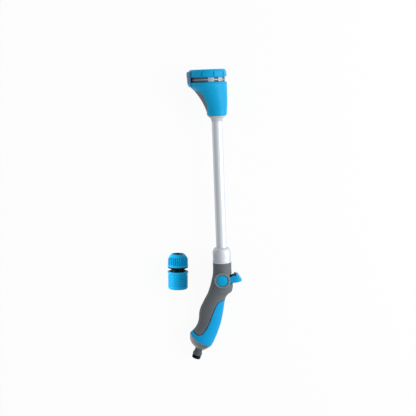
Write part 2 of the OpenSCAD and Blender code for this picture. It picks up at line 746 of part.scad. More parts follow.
module spray_face() color(dark) lay_wand() difference() {
    on_ring() translate([0, 0, face_z0]) cylinder(r = face_r, h = face_t);
    on_ring() cylinder(r = post_r + run_gap, h = ring_top);
    on_ring() translate([0, 0, face_z1 - 0.8]) sleeve(face_r - 1.2, nozzle_rings[0][0] + 2, 0, 2);
    at_nozzles() cylinder(r = nozzle_r + fit_gap, h = ring_top);
}

module nozzle_tips() color(blue) lay_wand() at_nozzles() difference() {
    union() {
        translate([0, 0, face_z0 + 0.1]) cylinder(r = nozzle_r, h = face_t);
        translate([0, 0, face_z1 + 0.1]) cylinder(r1 = nozzle_r, r2 = 1, h = 1.8);
    }
    cylinder(r = 0.55, h = ring_top);
}

module indicator_band() color(silver) lay_wand() on_ring()
    sleeve(ring_r - band_step, disc_r + fit_gap, band_z0 + 0.3, ring_z0 - 0.1);

// Notched ring, rounded towards the spray face
module selector_ring() color(blue) lay_wand() on_ring() difference() {
    rotate_extrude() polygon(concat(
        [[face_r + fit_gap, ring_z0], [ring_r - 1.2, ring_z0], [ring_r, ring_z0 + 1.3],
         [ring_r - 0.1, ring_z0 + 4.6]],
        quarter(face_r + ring_lip, ring_top - 6.4, ring_r - face_r - ring_lip - 0.4, 6.4, 8),
        [[face_r + fit_gap, ring_top - 0.6]]));
    for (k = [0 : patterns - 1]) rotate(360 * (k + 0.5) / patterns - 90)
        translate([ring_r + notch_r * 0.45, 0, ring_z0 - 1])
            cylinder(r = notch_r, h = ring_h + 2, $fn = 24);
}

module detent_ball() color(silver) lay_wand() on_ring()
    translate([0, click_r, band_z0 - 0.55]) sphere(r = ball_r);

module detent_spring() color(silver) lay_wand() on_ring()
    translate([0, click_r, 0]) coil(ball_r - 0.4, 0.3, band_z0 - 9.4, band_z0 - 2.4, 5);

module face_screw() color(silver) lay_wand() on_ring() difference() {
    union() {
        translate([0, 0, face_z1 - 8.8]) cylinder(r = 1.55, h = 9.2);
        translate([0, 0, face_z1 + 0.4]) cylinder(r = post_r + 1.6, h = 1.2);
        translate([0, 0, face_z1 + 1.5]) cylinder(r = 3.2, h = 1.7);
    }
    for (a = [0, 90]) rotate(a) translate([-2, -0.5, face_z1 + 2]) cube([4, 1, 3]);
}

// Connector body from its mouth up: socket, stop flange, waist, nut flange, thread and hose stem
module connector_body() color(black) lay_connector() difference() {
    rotate_extrude() polygon([
        [stem_bore, socket_depth + mouth_lip], [socket_r, socket_depth + mouth_lip], [socket_r, mouth_lip],
        [collar_seat_r, mouth_lip], [collar_seat_r, stop_c0],
        [sleeve_bore - free_gap, stop_c0], [sleeve_bore - free_gap, stop_c0 + 2],
        [waist_r, stop_c0 + 3], [waist_r, flange_c0],
        [nut_d / 2 - 0.3, flange_c0], [nut_d / 2 - 0.3, nut_c0 - 0.1],
        [thread_r, nut_c0 - 0.1], [thread_r, thread_c1],
        [stem_r, thread_c1], [stem_r, thread_c1 + 2], [stem_r - 0.6, thread_c1 + 4],
        [stem_r, thread_c1 + 4], [stem_r - 0.8, thread_c1 + 6], [stem_bore, thread_c1 + 6]
    ]);
    translate([0, 0, socket_depth + mouth_lip - 2.2]) sleeve(socket_r + 1.7, socket_r - 1, -0.9, 0.9);
    for (a = [0 : jaws - 1]) rotate(360 * a / jaws) translate([socket_r - 1, -jaw_w / 2 - fit_gap, 4])
        cube([8, jaw_w + 2 * fit_gap, 7]);
}

module connector_o_ring() color(dark) lay_connector()
    translate([0, 0, socket_depth + mouth_lip - 2.2]) o_ring(socket_r + 0.05, 0.8);

// Claws in the windows of the socket, with tails that the collar closes over
module connector_jaws() color(dark) lay_connector() for (a = [0 : jaws - 1]) rotate(360 * a / jaws)
    rotate([90, 0, 0]) linear_extrude(height = jaw_w, center = true) polygon([
        [socket_r + 0.3, 5], [socket_r + 2, 4.1], [collar_seat_r - 0.1, 4.1],
        [collar_seat_r - 0.1, 8.2], [sleeve_bore - 0.3, 8.6], [sleeve_bore - 0.3, 10.8],
        [socket_r + 1.5, 10.8], [socket_r + 0.3, 9]
    ]);

// Sliding collar with ridges, a flared rim, a lip at the mouth and a seat for the spring
module connector_collar() color(blue) lay_connector() rotate_extrude() polygon(concat(
    [[collar_slide_r, 0], [sleeve_r - 1.4, 0], [sleeve_r - 0.3, 1.4], [sleeve_r, 3]],
    [for (k = [0 : ridges - 1]) let (c = 4 + ridge_pitch * k) each [
        [sleeve_r, c], [sleeve_r, c + 1.6], [sleeve_r - 0.5, c + 2], [sleeve_r - 0.5, c + 2.6]]],
    [[sleeve_r, sleeve_len - 4], [sleeve_rim_r, sleeve_len - 2], [sleeve_rim_r, sleeve_len - 0.5],
     [sleeve_rim_r - 0.5, sleeve_len], [sleeve_bore + 0.4, sleeve_len], [sleeve_bore, sleeve_len - 0.4],
     [sleeve_bore, shoulder_c1], [collar_slide_r, shoulder_c1], [collar_slide_r, shoulder_c0],
     [sleeve_bore, shoulder_c0], [sleeve_bore, 3], [collar_slide_r, 3]]));

module collar_spring() color(silver) lay_connector()
    coil(spring_r, spring_wire_r, shoulder_c1 + 0.1, stop_c0 - 0.1, 5);

// Split collet inside the nut
module hose_gripper() color(black) lay_connector() difference() {
    rotate_extrude() polygon([
        [hose_r - gripper_bite, thread_c1 + 0.1], [thread_r - 0.4, thread_c1 + 0.1],
        [hose_r + gripper_t, nut_top - nut_hole_len - 0.3],
        [hose_r - gripper_bite, nut_top - nut_hole_len - 0.3]
    ]);
    for (a = [0 : 7]) rotate(45 * a) translate([0, -0.6, thread_c1 + 2]) cube([20, 1.2, 20]);
}

// Cap nut with grip grooves and a domed top round the hose entry
module connector_nut() color(blue) lay_connector() difference() {
    rotate_extrude() polygon(concat(
        [[thread_r + 0.3, nut_c0], [nut_d / 2 - 0.3, nut_c0], [nut_d / 2, nut_c0 + 0.5],
         [nut_d / 2, nut_c0 + 2.2], [nut_d / 2 - 0.5, nut_c0 + 2.8]],
        quarter(hose_r + 1.6, nut_top - 7.5, nut_d / 2 - hose_r - 2.3, 7.5, 10),
        [[hose_r, nut_top - 0.4], [hose_r, nut_top - nut_hole_len],
         [hose_r + gripper_t + 0.4, nut_top - nut_hole_len], [thread_r + 0.3, thread_c1 + 0.5]]));
    for (k = [0 : nut_grooves - 1]) rotate(360 * k / nut_grooves)
        translate([nut_d / 2 + 0.2, 0, nut_c0 + 3.4]) cylinder(r = 1.1, h = nut_h - 8.4, $fn = 24);
}

handle_shell_near();
handle_shell_far();
grip_overmould();
shell_screws();
end_cap();
hose_nipple();
nipple_o_ring();
inlet_filter();
inlet_pipe();
pipe_seals();
valve_body();
valve_end_seals();
valve_plug();
thumb_lever();
lever_core();
pivot_cap_near();
pivot_cap_far();
collar_nut();
tube();
tube_seals();
neck_ferrule();
head_shell();
head_insert();
index_tab();
head_core();
port_seal();
distributor();
spray_face();
nozzle_tips();
indicator_band();
selector_ring();
detent_ball();
detent_spring();
face_screw();
connector_body();
connector_o_ring();
connector_jaws();
connector_collar();
collar_spring();
hose_gripper();
connector_nut();
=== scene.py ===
"""Looks of a spray wand with a turning pattern head, and of its loose hose connector.

Pieces are modelled in millimetres, either on the wand's own axes, with z up the tube from the
top of the handle and the lever towards +x, or on the connector's axis, up from its mouth. The
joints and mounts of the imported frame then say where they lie.
"""

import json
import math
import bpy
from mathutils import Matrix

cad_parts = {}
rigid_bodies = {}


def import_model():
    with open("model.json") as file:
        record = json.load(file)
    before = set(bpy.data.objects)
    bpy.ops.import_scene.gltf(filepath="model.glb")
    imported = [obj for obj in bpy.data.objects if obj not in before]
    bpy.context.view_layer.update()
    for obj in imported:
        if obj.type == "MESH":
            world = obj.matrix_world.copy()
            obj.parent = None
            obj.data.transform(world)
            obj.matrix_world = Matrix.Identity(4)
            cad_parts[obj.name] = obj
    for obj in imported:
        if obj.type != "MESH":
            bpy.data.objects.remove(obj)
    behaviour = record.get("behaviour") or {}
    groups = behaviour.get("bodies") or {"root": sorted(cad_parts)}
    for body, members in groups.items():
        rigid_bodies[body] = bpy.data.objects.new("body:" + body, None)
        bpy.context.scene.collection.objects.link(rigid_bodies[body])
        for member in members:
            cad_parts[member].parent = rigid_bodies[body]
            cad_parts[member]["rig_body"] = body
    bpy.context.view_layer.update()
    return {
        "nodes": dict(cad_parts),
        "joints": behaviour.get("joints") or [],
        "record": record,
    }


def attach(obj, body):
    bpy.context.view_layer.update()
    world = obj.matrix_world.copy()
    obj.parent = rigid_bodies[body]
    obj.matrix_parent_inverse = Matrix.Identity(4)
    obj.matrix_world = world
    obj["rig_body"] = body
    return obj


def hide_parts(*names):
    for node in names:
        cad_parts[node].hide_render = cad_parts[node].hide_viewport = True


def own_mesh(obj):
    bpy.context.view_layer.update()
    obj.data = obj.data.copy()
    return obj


bl_info = {
    "name": "Spray Wand",
    "version": (1, 0, 0),
    "blender": (4, 5, 0),
    "location": "View3D > Sidebar > Spray Wand",
    "description": "Models and finishes a spray wand and its hose connector on a packed frame",
    "category": "Add Mesh",
}

from bisect import bisect_right

import bmesh
import bpy
from bpy.props import FloatProperty, FloatVectorProperty, IntProperty, PointerProperty
from bpy.types import Operator, Panel, PropertyGroup
from mathutils import Matrix, Vector

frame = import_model()
JOINTS = {joint["name"]: joint for joint in frame["joints"]}
MOUNTS = {mount["name"]: mount for mount in frame["record"]["mounts"]}
SLOTS = {part["node"]: part["material_slot"] for part in frame["record"]["subparts"]}

MM = 0.001
# Gap between pieces that fit into each other
FIT = 0.05
# Distance at which points of a mesh count as one
MERGED = 1e-4
SHARP_ANGLE = math.radians(40)


# Sizes and colours

def srgb(red, green, blue):
    """Scene-linear colour of a display colour given from 0 to 255."""
    def linear(value):
        share = value / 255
        return share / 12.92 if share <= 0.04045 else ((share + 0.055) / 1.055) ** 2.4
    return tuple(linear(value) for value in (red, green, blue))


def length(name, description, millimetres):
    """A length property with its default in millimetres."""
    return FloatProperty(
        name=name, description=description, default=millimetres * MM, min=0, unit="LENGTH")


def count_of(name, description, number):
    """A count property."""
    return IntProperty(name=name, description=description, default=number, min=3)


def colour(name, description, red, green, blue):
    """A colour property with its default as a display colour."""
    return FloatVectorProperty(
        name=name, description=description, default=srgb(red, green, blue),
        size=3, min=0, max=1, subtype="COLOR")


class SprayWandSizes(PropertyGroup):
    """Sizes that the visible pieces are drawn from."""
    tube_d: length("Tube diameter", "Outer diameter of the aluminium tube", 18)
    tube_wall: length("Tube wall", "Wall of the aluminium tube", 1.2)
    collar_h: length("Collar height", "Height of the silver collar nut", 27)
    ferrule_z: length("Ferrule place", "Height of the ferrule's foot above the handle", 238)
    head_z: length("Head place", "Height of the head's foot above the handle", 247.5)
    shell_h: length("Shell height", "Height of the blue head shell", 54.5)
    ring_d: length("Ring diameter", "Outer diameter of the selector ring", 63)
    ring_h: length("Ring height", "Height of the selector ring", 12.6)
    ring_wall: length("Ring wall", "Wall of the selector ring round the spray face", 6.3)
    ring_offset: length("Ring offset", "Distance of the ring's axis from the tube's axis", 13.2)
    band_h: length("Band height", "Height of the silver band", 7.8)
    band_step: length("Band step", "Step from the ring in to the band", 2.7)
    notches: count_of("Notches", "Notches round the selector ring", 10)
    notch_r: length("Notch radius", "Radius of each notch of the ring", 1.45)
    hub_half: length("Hub half width", "Half width of the handle at the pivot", 17)
    cap_d: length("Pivot cap diameter", "Diameter of the domed pivot caps", 19.6)
    cap_h: length("Pivot cap height", "Height of the pivot caps above the shell", 3.4)
    lever_reach: length("Lever reach", "Reach of the lever from the pivot to its tip", 33.4)
    lever_w: length("Lever width", "Width of the lever across its cheeks", 21.8)
    arm_t: length("Lever arm", "Thickness of each cheek of the lever", 2.7)
    seam: length("Seam", "Width of the groove between the grey shell and the blue skin", 1.3)
    grip_skin: length("Grip skin", "Thickness of the blue skin", 2.3)
    nipple_reach: length("Nipple reach", "Distance from the pivot to the tip of the nipple", 146)
    sleeve_d: length("Collar diameter", "Diameter of the connector's collar over its ridges", 33.4)
    sleeve_len: length("Collar length", "Length of the connector's collar", 30)
    nut_d: length("Nut diameter", "Diameter of the connector's cap nut", 34.6)
    nut_h: length("Nut height", "Height of the connector's cap nut", 21.5)
    nut_grooves: count_of("Nut grooves", "Grip grooves round the nut", 28)


class SprayWandColours(PropertyGroup):
    """Colours of the finishes."""
    blue: colour("Blue plastic", "Satin blue of the head, lever and connector", 4, 165, 219)
    soft_blue: colour("Blue skin", "Soft blue skin of the grip", 5, 161, 223)
    grey: colour("Grey plastic", "Moulded grey of the handle", 102, 108, 113)
    dark: colour("Dark plastic", "Dark grey of the nipple and the spray face", 78, 87, 95)
    gloss: colour("Dark gloss", "Glossy dark end cap", 106, 107, 109)
    black: colour("Black plastic", "Black of the connector's body", 9, 9, 10)
    white: colour("White plastic", "Pale plastic of the ferrule", 198, 202, 208)
    aluminium: colour("Aluminium", "Drawn tube", 216, 222, 230)
    silver: colour("Silver", "Plated collar nut", 209, 213, 220)
    band: colour("Band silver", "Satin silver of the band under the ring", 162, 168, 179)
    # Painted reflection and shade: the tab is blue plastic, given the desaturated blue grey of its
    # grazing, shaded side.
    tab: colour("Tab grey", "Blue grey of the index tab", 80, 128, 168)
    # Painted highlight: the rings round the pivot caps are the handle's grey, made paler where their
    # rounded rims catch the light.
    ring: colour("Ring grey", "Paler grey of the rings round the pivot caps", 124, 130, 134)
    steel: colour("Steel", "Screws and springs", 190, 193, 196)


def millimetres():
    """The sizes of the scene in millimetres, and its counts as they are."""
    group = bpy.context.scene.spray_wand_sizes
    values = {}
    for name in SprayWandSizes.__annotations__:
        value = getattr(group, name)
        values[name] = value if isinstance(value, int) else value / MM
    return values


# Places of the wand and the connector in the frame

def axes_place(across, away, up, origin):
    """Matrix that takes millimetres on three axes to metres in the frame."""
    turn = Matrix((across, away, up)).transposed().to_4x4()
    return Matrix.Translation(origin) @ turn @ Matrix.Scale(MM, 4)


HUB = Vector((-1, 0, -26.5))


def wand_place():
    """The wand's own axes: z up the tube, -y to the near side, origin at the handle's top."""
    up = Vector(JOINTS["selector_turn"]["axis"])
    away = -Vector(JOINTS["lever_turn"]["axis"])
    across = away.cross(up)
    pivot = Vector(JOINTS["lever_turn"]["pos_m"])
    return axes_place(across, away, up, pivot - (across * HUB.x + up * HUB.z) * MM)


def ring_place(offset):
    """The selector ring's axis, at its distance behind the tube."""
    return wand_place() @ Matrix.Translation((-offset, 0, 0))


def pivot_place(side):
    """The pivot axis, with z outwards on the near (1) or the far (-1) side."""
    return wand_place() @ Matrix.Translation(HUB) @ Matrix.Rotation(side * math.pi / 2, 4, "X")


def inlet_place():
    """The inlet's axis, with z from the pivot to the nipple's tip."""
    down = Vector(MOUNTS["hose_nipple"]["axis"])
    away = -Vector(JOINTS["lever_turn"]["axis"])
    return axes_place(away.cross(down), away, down, Vector(JOINTS["lever_turn"]["pos_m"]))


MOUTH_LIP = 1.5


def connector_place():
    """The connector's axis, with z up from its mouth."""
    up = Vector(JOINTS["collar_slide"]["axis"])
    away = Vector((0, 0, -1))
    socket = MOUNTS["connector_socket"]
    depth = MOUTH_LIP + socket["dims"]["length_mm"] / 2
    return axes_place(away.cross(up), away, up, Vector(socket["pos_m"]) - up * depth * MM)


# Curves and outlines

def smooth(rows, steps):
    """Rows of numbers joined by a smooth curve."""
    last = len(rows) - 1
    found = []
    for i in range(last):
        four = [Vector(rows[min(max(i + k, 0), last)]) for k in (-1, 0, 1, 2)]
        a, b, c, d = four
        for k in range(steps):
            t = k / steps
            bend = (2 * a - 5 * b + 4 * c - d) * t * t + (3 * b - a - 3 * c + d) * t ** 3
            found.append(0.5 * (2 * b + (c - a) * t + bend))
    found.append(Vector(rows[last]))
    return found


class Curve:
    """Rows of numbers that are read by their first number."""

    def __init__(self, rows):
        self.rows = sorted(rows, key=lambda row: row[0])
        self.keys = [row[0] for row in self.rows]

    def at(self, key):
        """The other numbers of the row at a key."""
        i = min(max(bisect_right(self.keys, key), 1), len(self.keys) - 1)
        low = self.rows[i - 1]
        high = self.rows[i]
        share = (key - low[0]) / (high[0] - low[0])
        return [a + share * (b - a) for a, b in zip(low[1:], high[1:])]


def shifted(points, distance):
    """A side view line moved to its left by a distance."""
    moved = []
    for i, point in enumerate(points):
        before = points[max(i - 1, 0)]
        after = points[min(i + 1, len(points) - 1)]
        along = (after - before).normalized()
        moved.append(point + Vector((-along.y, along.x)) * distance)
    return moved


def spread(share, marks):
    """Value at a share along (share, value) marks."""
    for (s0, v0), (s1, v1) in zip(marks, marks[1:]):
        if share <= s1:
            return v0 + (v1 - v0) * (share - s0) / (s1 - s0)
    return marks[-1][1]


def eased(points, cuts=4):
    """Outline whose corners are drawn round where a point gives a radius as its third number."""
    most = 0.45
    drawn = []
    for i, point in enumerate(points):
        corner = Vector(point[:2])
        radius = point[2] if len(point) > 2 else 0
        if not radius:
            drawn.append(corner)
            continue
        to_before = Vector(points[i - 1][:2]) - corner
        to_after = Vector(points[(i + 1) % len(points)][:2]) - corner
        start = corner + to_before.normalized() * min(radius, to_before.length * most)
        end = corner + to_after.normalized() * min(radius, to_after.length * most)
        for k in range(cuts + 1):
            t = k / cuts
            drawn.append(start.lerp(corner, t).lerp(corner.lerp(end, t), t))
    return drawn


def quarter(radius, height, wide, high, steps=10):
    """Points of a quarter of an ellipse, from the side to the top."""
    turns = [math.pi / 2 * k / steps for k in range(steps + 1)]
    return [(radius + wide * math.cos(a), height + high * math.sin(a)) for a in turns]


# Modelling helpers

def tidy(shape):
    """Merges doubles and turns the faces outwards, also on an open skin."""
    bmesh.ops.remove_doubles(shape, verts=shape.verts, dist=MERGED)
    bmesh.ops.recalc_face_normals(shape, faces=shape.faces)
    middle = sum((vert.co for vert in shape.verts), Vector()) / len(shape.verts)
    outward = sum(
        face.calc_area() * face.normal.dot(face.calc_center_median() - middle) for face in shape.faces)
    closed = all(len(edge.link_faces) == 2 for edge in shape.edges)
    if outward < 0 and not closed:
        bmesh.ops.reverse_faces(shape, faces=shape.faces)
    return shape


def turned(outline, steps=96):
    """A closed outline of (radius, height) points, spun round z."""
    shape = bmesh.new()
    verts = [shape.verts.new((point[0], 0, point[1])) for point in outline]
    edges = [shape.edges.new((verts[i - 1], verts[i])) for i in range(len(verts))]
    bmesh.ops.spin(
        shape, geom=verts + edges, cent=(0, 0, 0), axis=(0, 0, 1),
        angle=2 * math.pi, steps=steps, use_merge=True)
    return tidy(shape)


def swept(shape, outline, start, sweep, steps):
    """Adds a closed (radius, height) outline, spun round z over part of a turn, in degrees."""
    turn = Matrix.Rotation(math.radians(start), 3, "Z")
    points = [turn @ Vector((point[0], 0, point[1])) for point in outline]
    face = shape.faces.new([shape.verts.new(point) for point in points])
    bmesh.ops.spin(
        shape, geom=[face] + face.verts[:] + face.edges[:], cent=(0, 0, 0), axis=(0, 0, 1),
        angle=math.radians(sweep), steps=steps, use_merge=False)
    return shape


def bent_grid(columns, rows, place, keep=None):
    """A grid whose points are moved by place(u, v), without the faces that keep(u, v) leaves out."""
    shape = bmesh.new()
    bmesh.ops.create_grid(shape, x_segments=columns, y_segments=rows, size=0.5)
    if keep:
        centres = {face: face.calc_center_median() for face in shape.faces}
        dropped = [face for face, at in centres.items() if not keep(at.x + 0.5, at.y + 0.5)]
        bmesh.ops.delete(shape, geom=dropped, context="FACES")
    for vert in shape.verts:
        vert.co = place(vert.co.x + 0.5, vert.co.y + 0.5)
    return tidy(shape)


def finish_of(slot):
    """The material of a slot, or of a small part that has a look of its own."""
    return bpy.data.materials[f"{slot}_finish"]


def mesh_of(name, shape):
    """The mesh of a shape, which is freed."""
    mesh = bpy.data.meshes.new(name)
    shape.to_mesh(mesh)
    shape.free()
    return mesh


def add_object(name, data):
    """A new object in the scene."""
    item = bpy.data.objects.new(name, data)
    bpy.context.scene.collection.objects.link(item)
    return item


def add_piece(name, shape, place, slot, body, *replaced, finish=None, wall=0, edge=0):
    """Lays a shape on the table as a piece that rides on a body and stands for CAD nodes.

    A finish of its own, the wall of a skin and the width of soft edges are given where it has them.
    """
    bmesh.ops.transform(shape, matrix=place, space=Matrix(), verts=shape.verts)
    mesh = mesh_of(name, shape)
    mesh.shade_smooth()
    mesh.set_sharp_from_angle(angle=SHARP_ANGLE)
    mesh.materials.append(finish_of(finish or slot))
    piece = add_object(name, mesh)
    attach(piece, body)
    if replaced:
        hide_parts(*replaced)
    if wall:
        give_wall(piece, wall)
    if edge:
        soften(piece, edge)
    return piece


def give_wall(piece, thickness):
    """Thickens a skin inwards, in millimetres."""
    wall = piece.modifiers.new("Wall", "SOLIDIFY")
    wall.thickness = thickness * MM
    wall.offset = -1
    wall.use_even_offset = True
    wall.use_quality_normals = True


def soften(piece, width, segments=3):
    """Rounds the sharp edges of a piece, in millimetres."""
    bevel = piece.modifiers.new("Edges", "BEVEL")
    bevel.width = width * MM
    bevel.segments = segments
    bevel.limit_method = "ANGLE"
    bevel.angle_limit = SHARP_ANGLE
    bevel.harden_normals = True


def settle(piece):
    """Applies the modifiers of a piece to its mesh."""
    graph = bpy.context.evaluated_depsgraph_get()
    mesh = bpy.data.meshes.new_from_object(
        piece.evaluated_get(graph), preserve_all_data_layers=True, depsgraph=graph)
    old = piece.data
    piece.modifiers.clear()
    piece.data = mesh
    bpy.data.meshes.remove(old)


# Finishes

TINT_DETAIL = 4.0
GLOSS_DETAIL = 3.0
RELIEF_DETAIL = 2.0
# Part of the noise's range that is spread over the roughness
NOISE_RANGE = (0.3, 0.7)


def noise_on(tree, scale, detail, stretch):
    """Noise over a piece, with its grains per metre and a stretch of each axis."""
    coordinates = tree.nodes.new("ShaderNodeTexCoord")
    mapping = tree.nodes.new("ShaderNodeMapping")
    mapping.inputs["Scale"].default_value = stretch
    noise = tree.nodes.new("ShaderNodeTexNoise")
    noise.inputs["Scale"].default_value = scale
    noise.inputs["Detail"].default_value = detail
    tree.links.new(coordinates.outputs["Object"], mapping.inputs["Vector"])
    tree.links.new(mapping.outputs["Vector"], noise.inputs["Vector"])
    return noise.outputs["Fac"]


def ranged(tree, value, source, target):
    """A value moved from one range to another."""
    node = tree.nodes.new("ShaderNodeMapRange")
    for name, number in zip(("From Min", "From Max", "To Min", "To Max"), (*source, *target)):
        node.inputs[name].default_value = number
    tree.links.new(value, node.inputs["Value"])
    return node.outputs["Result"]


def mottled(tree, base, scale, darker, lighter, stretch):
    """Colour that wanders a little round its base."""
    mix = tree.nodes.new("ShaderNodeMix")
    mix.data_type = "RGBA"
    mix.inputs["A"].default_value = (*[channel * darker for channel in base], 1)
    mix.inputs["B"].default_value = (*[min(channel * lighter, 1) for channel in base], 1)
    tree.links.new(noise_on(tree, scale, TINT_DETAIL, stretch), mix.inputs["Factor"])
    return mix.outputs["Result"]


def grained(tree, scale, depth, strength, stretch):
    """Fine relief, with its depth in millimetres."""
    bump = tree.nodes.new("ShaderNodeBump")
    bump.inputs["Strength"].default_value = strength
    bump.inputs["Distance"].default_value = depth * MM
    tree.links.new(noise_on(tree, scale, RELIEF_DETAIL, stretch), bump.inputs["Height"])
    return bump.outputs["Normal"]


def add_finish(slot, base, roughness, metallic=0.0, specular=0.5, *, tint, gloss=None, relief=None,
               stretch=(1, 1, 1)):
    """The material of a slot, with one shader, which is given back.

    Its tint has grains per metre and how dark and how light the colour gets, its gloss has grains
    per metre and the least and the most roughness, and its relief has grains per metre, a depth in
    millimetres and a strength.
    """
    material = bpy.data.materials.new(f"{slot}_finish")
    material.use_nodes = True
    tree = material.node_tree
    shader = tree.nodes["Principled BSDF"]
    shader.inputs["Base Color"].default_value = (*base, 1)
    shader.inputs["Roughness"].default_value = roughness
    shader.inputs["Metallic"].default_value = metallic
    shader.inputs["Specular IOR Level"].default_value = specular
    tree.links.new(mottled(tree, base, *tint, stretch), shader.inputs["Base Color"])
    if gloss:
        scale, *target = gloss
        noise = noise_on(tree, scale, GLOSS_DETAIL, stretch)
        tree.links.new(ranged(tree, noise, NOISE_RANGE, target), shader.inputs["Roughness"])
    if relief:
        tree.links.new(grained(tree, *relief, stretch), shader.inputs["Normal"])
    return shader


def plastics(colours):
    """Moulded plastics and rubber: satin, soft skin, eroded texture, gloss and dull seals."""
    add_finish(
        "blue_plastic", colours.blue, 0.36, specular=0.15, tint=(60, 0.94, 1.05),
        gloss=(180, 0.30, 0.40), relief=(2600, 0.02, 0.25))
    skin = add_finish(
        "soft_blue", colours.soft_blue, 0.6, specular=0.15, tint=(50, 0.95, 1.04),
        gloss=(240, 0.50, 0.62), relief=(3400, 0.05, 0.35))
    skin.inputs["Sheen Weight"].default_value = 0.05
    skin.inputs["Sheen Roughness"].default_value = 0.4
    add_finish(
        "grey_plastic", colours.grey, 0.5, specular=0.25, tint=(90, 0.92, 1.08),
        gloss=(300, 0.44, 0.58), relief=(3000, 0.06, 0.4))
    # Painted light: the tab's blue grey is a painted sheen and shade, and the pivot rings' paler grey is
    # a painted highlight.
    for slot, base in (("tab_grey", colours.tab), ("ring_grey", colours.ring)):
        add_finish(
            slot, base, 0.45, specular=0.25, tint=(90, 0.92, 1.08),
            gloss=(300, 0.4, 0.52), relief=(3000, 0.04, 0.3))
    cap = add_finish(
        "dark_gloss", colours.gloss, 0.2, specular=0.3, tint=(70, 0.92, 1.08),
        gloss=(220, 0.10, 0.18))
    cap.inputs["Coat Weight"].default_value = 0.3
    cap.inputs["Coat Roughness"].default_value = 0.05
    add_finish(
        "dark_plastic", colours.dark, 0.45, specular=0.25, tint=(120, 0.9, 1.1),
        gloss=(260, 0.38, 0.5), relief=(2800, 0.04, 0.3))
    add_finish(
        "black_plastic", colours.black, 0.4, specular=0.1, tint=(120, 0.8, 1.2),
        gloss=(260, 0.34, 0.48), relief=(2400, 0.03, 0.3))
    add_finish(
        "black_rubber", colours.black, 0.55, specular=0.15, tint=(200, 0.85, 1.15),
        relief=(1800, 0.02, 0.3))
    add_finish(
        "white_plastic", colours.white, 0.4, specular=0.3, tint=(80, 0.97, 1.02),
        gloss=(220, 0.34, 0.46))


def metals(colours):
    """Drawn aluminium with fine lines along the tube, plated silver and bright steel."""
    add_finish(
        "tube_metal", colours.aluminium, 0.36, 0.32, tint=(900, 0.96, 1.03),
        gloss=(1400, 0.28, 0.4), relief=(1600, 0.01, 0.2), stretch=(1, 0.015, 1))
    add_finish(
        "silver_metal", colours.silver, 0.5, 0.45, tint=(100, 0.98, 1.01), gloss=(120, 0.46, 0.54))
    add_finish("band_silver", colours.band, 0.45, 0.3, tint=(140, 0.95, 1.04), gloss=(400, 0.4, 0.52))
    add_finish("steel", colours.steel, 0.28, 1.0, tint=(300, 0.92, 1.04), gloss=(900, 0.22, 0.36))


class SPRAYWAND_OT_finishes(Operator):
    """Makes the materials"""
    bl_idname = "spraywand.finishes"
    bl_label = "Finishes"

    def execute(self, context):
        plastics(context.scene.spray_wand_colours)
        metals(context.scene.spray_wand_colours)
        return {"FINISHED"}


# Tube, collar nut and ferrule

HANDLE_R = 15.6
HANDLE_TOP = 1.4
NECK_R = 13.2
# Lengths of the tube below the collar's top and above the ferrule's foot
TUBE_IN_COLLAR = 22.9
TUBE_IN_HEAD = 26


def collar_outline(tube_r, height):
    """Dome nut: bead at its foot, straight skirt and a dome down to the tube."""
    foot = HANDLE_TOP + 0.15
    return (
        eased([(NECK_R, foot), (HANDLE_R - 0.1, foot, 0.3), (HANDLE_R + 0.3, foot + 0.6, 0.4),
               (HANDLE_R + 0.3, foot + 1.7, 0.5), (HANDLE_R - 0.35, foot + 2.25, 0.25),
               (HANDLE_R - 0.2, foot + 2.8, 0.3)])
        + quarter(tube_r + 0.5, height - 10, HANDLE_R - tube_r - 0.7, 10, 16)
        + [(tube_r + FIT, height - 0.4), (tube_r + FIT, height - 6), (NECK_R, height - 9.8)])


def ferrule_outline(tube_r, foot, top):
    """Flared ring: thin foot, hollow flare and a round lip under the head."""
    turns = [math.pi / 2 * k / 10 for k in range(11)]
    wide = 3.8
    high = top - foot - 3.2
    flare = [(tube_r + 0.45 + wide * (1 - math.cos(a)), foot + 0.6 + high * math.sin(a)) for a in turns]
    return (
        [(tube_r + FIT, foot), (tube_r + 0.4, foot)] + flare
        + eased([(tube_r + 4.3, top - 2.2), (tube_r + 5, top - 2, 0.4), (tube_r + 5, top - 0.1, 0.4),
                 (tube_r + FIT, top - 0.1)]))


class SPRAYWAND_OT_tube(Operator):
    """Models the tube, its collar nut and its ferrule"""
    bl_idname = "spraywand.tube"
    bl_label = "Tube and collar"

    def execute(self, context):
        size = millimetres()
        tube_r = size["tube_d"] / 2
        inner = tube_r - size["tube_wall"]
        foot = size["collar_h"] - TUBE_IN_COLLAR
        top = size["ferrule_z"] + TUBE_IN_HEAD
        place = wand_place()
        tube = [(inner, foot), (tube_r, foot), (tube_r, top), (inner, top)]
        add_piece("tube_skin", turned(tube), place, "tube_metal", "wand", "tube")
        collar = collar_outline(tube_r, size["collar_h"])
        add_piece("collar_dome", turned(collar), place, "silver_metal", "wand", "collar_nut")
        ferrule = ferrule_outline(tube_r, size["ferrule_z"], size["head_z"])
        add_piece("ferrule_ring", turned(ferrule), place, "white_plastic", "wand", "neck_ferrule")
        return {"FINISHED"}


# Handle

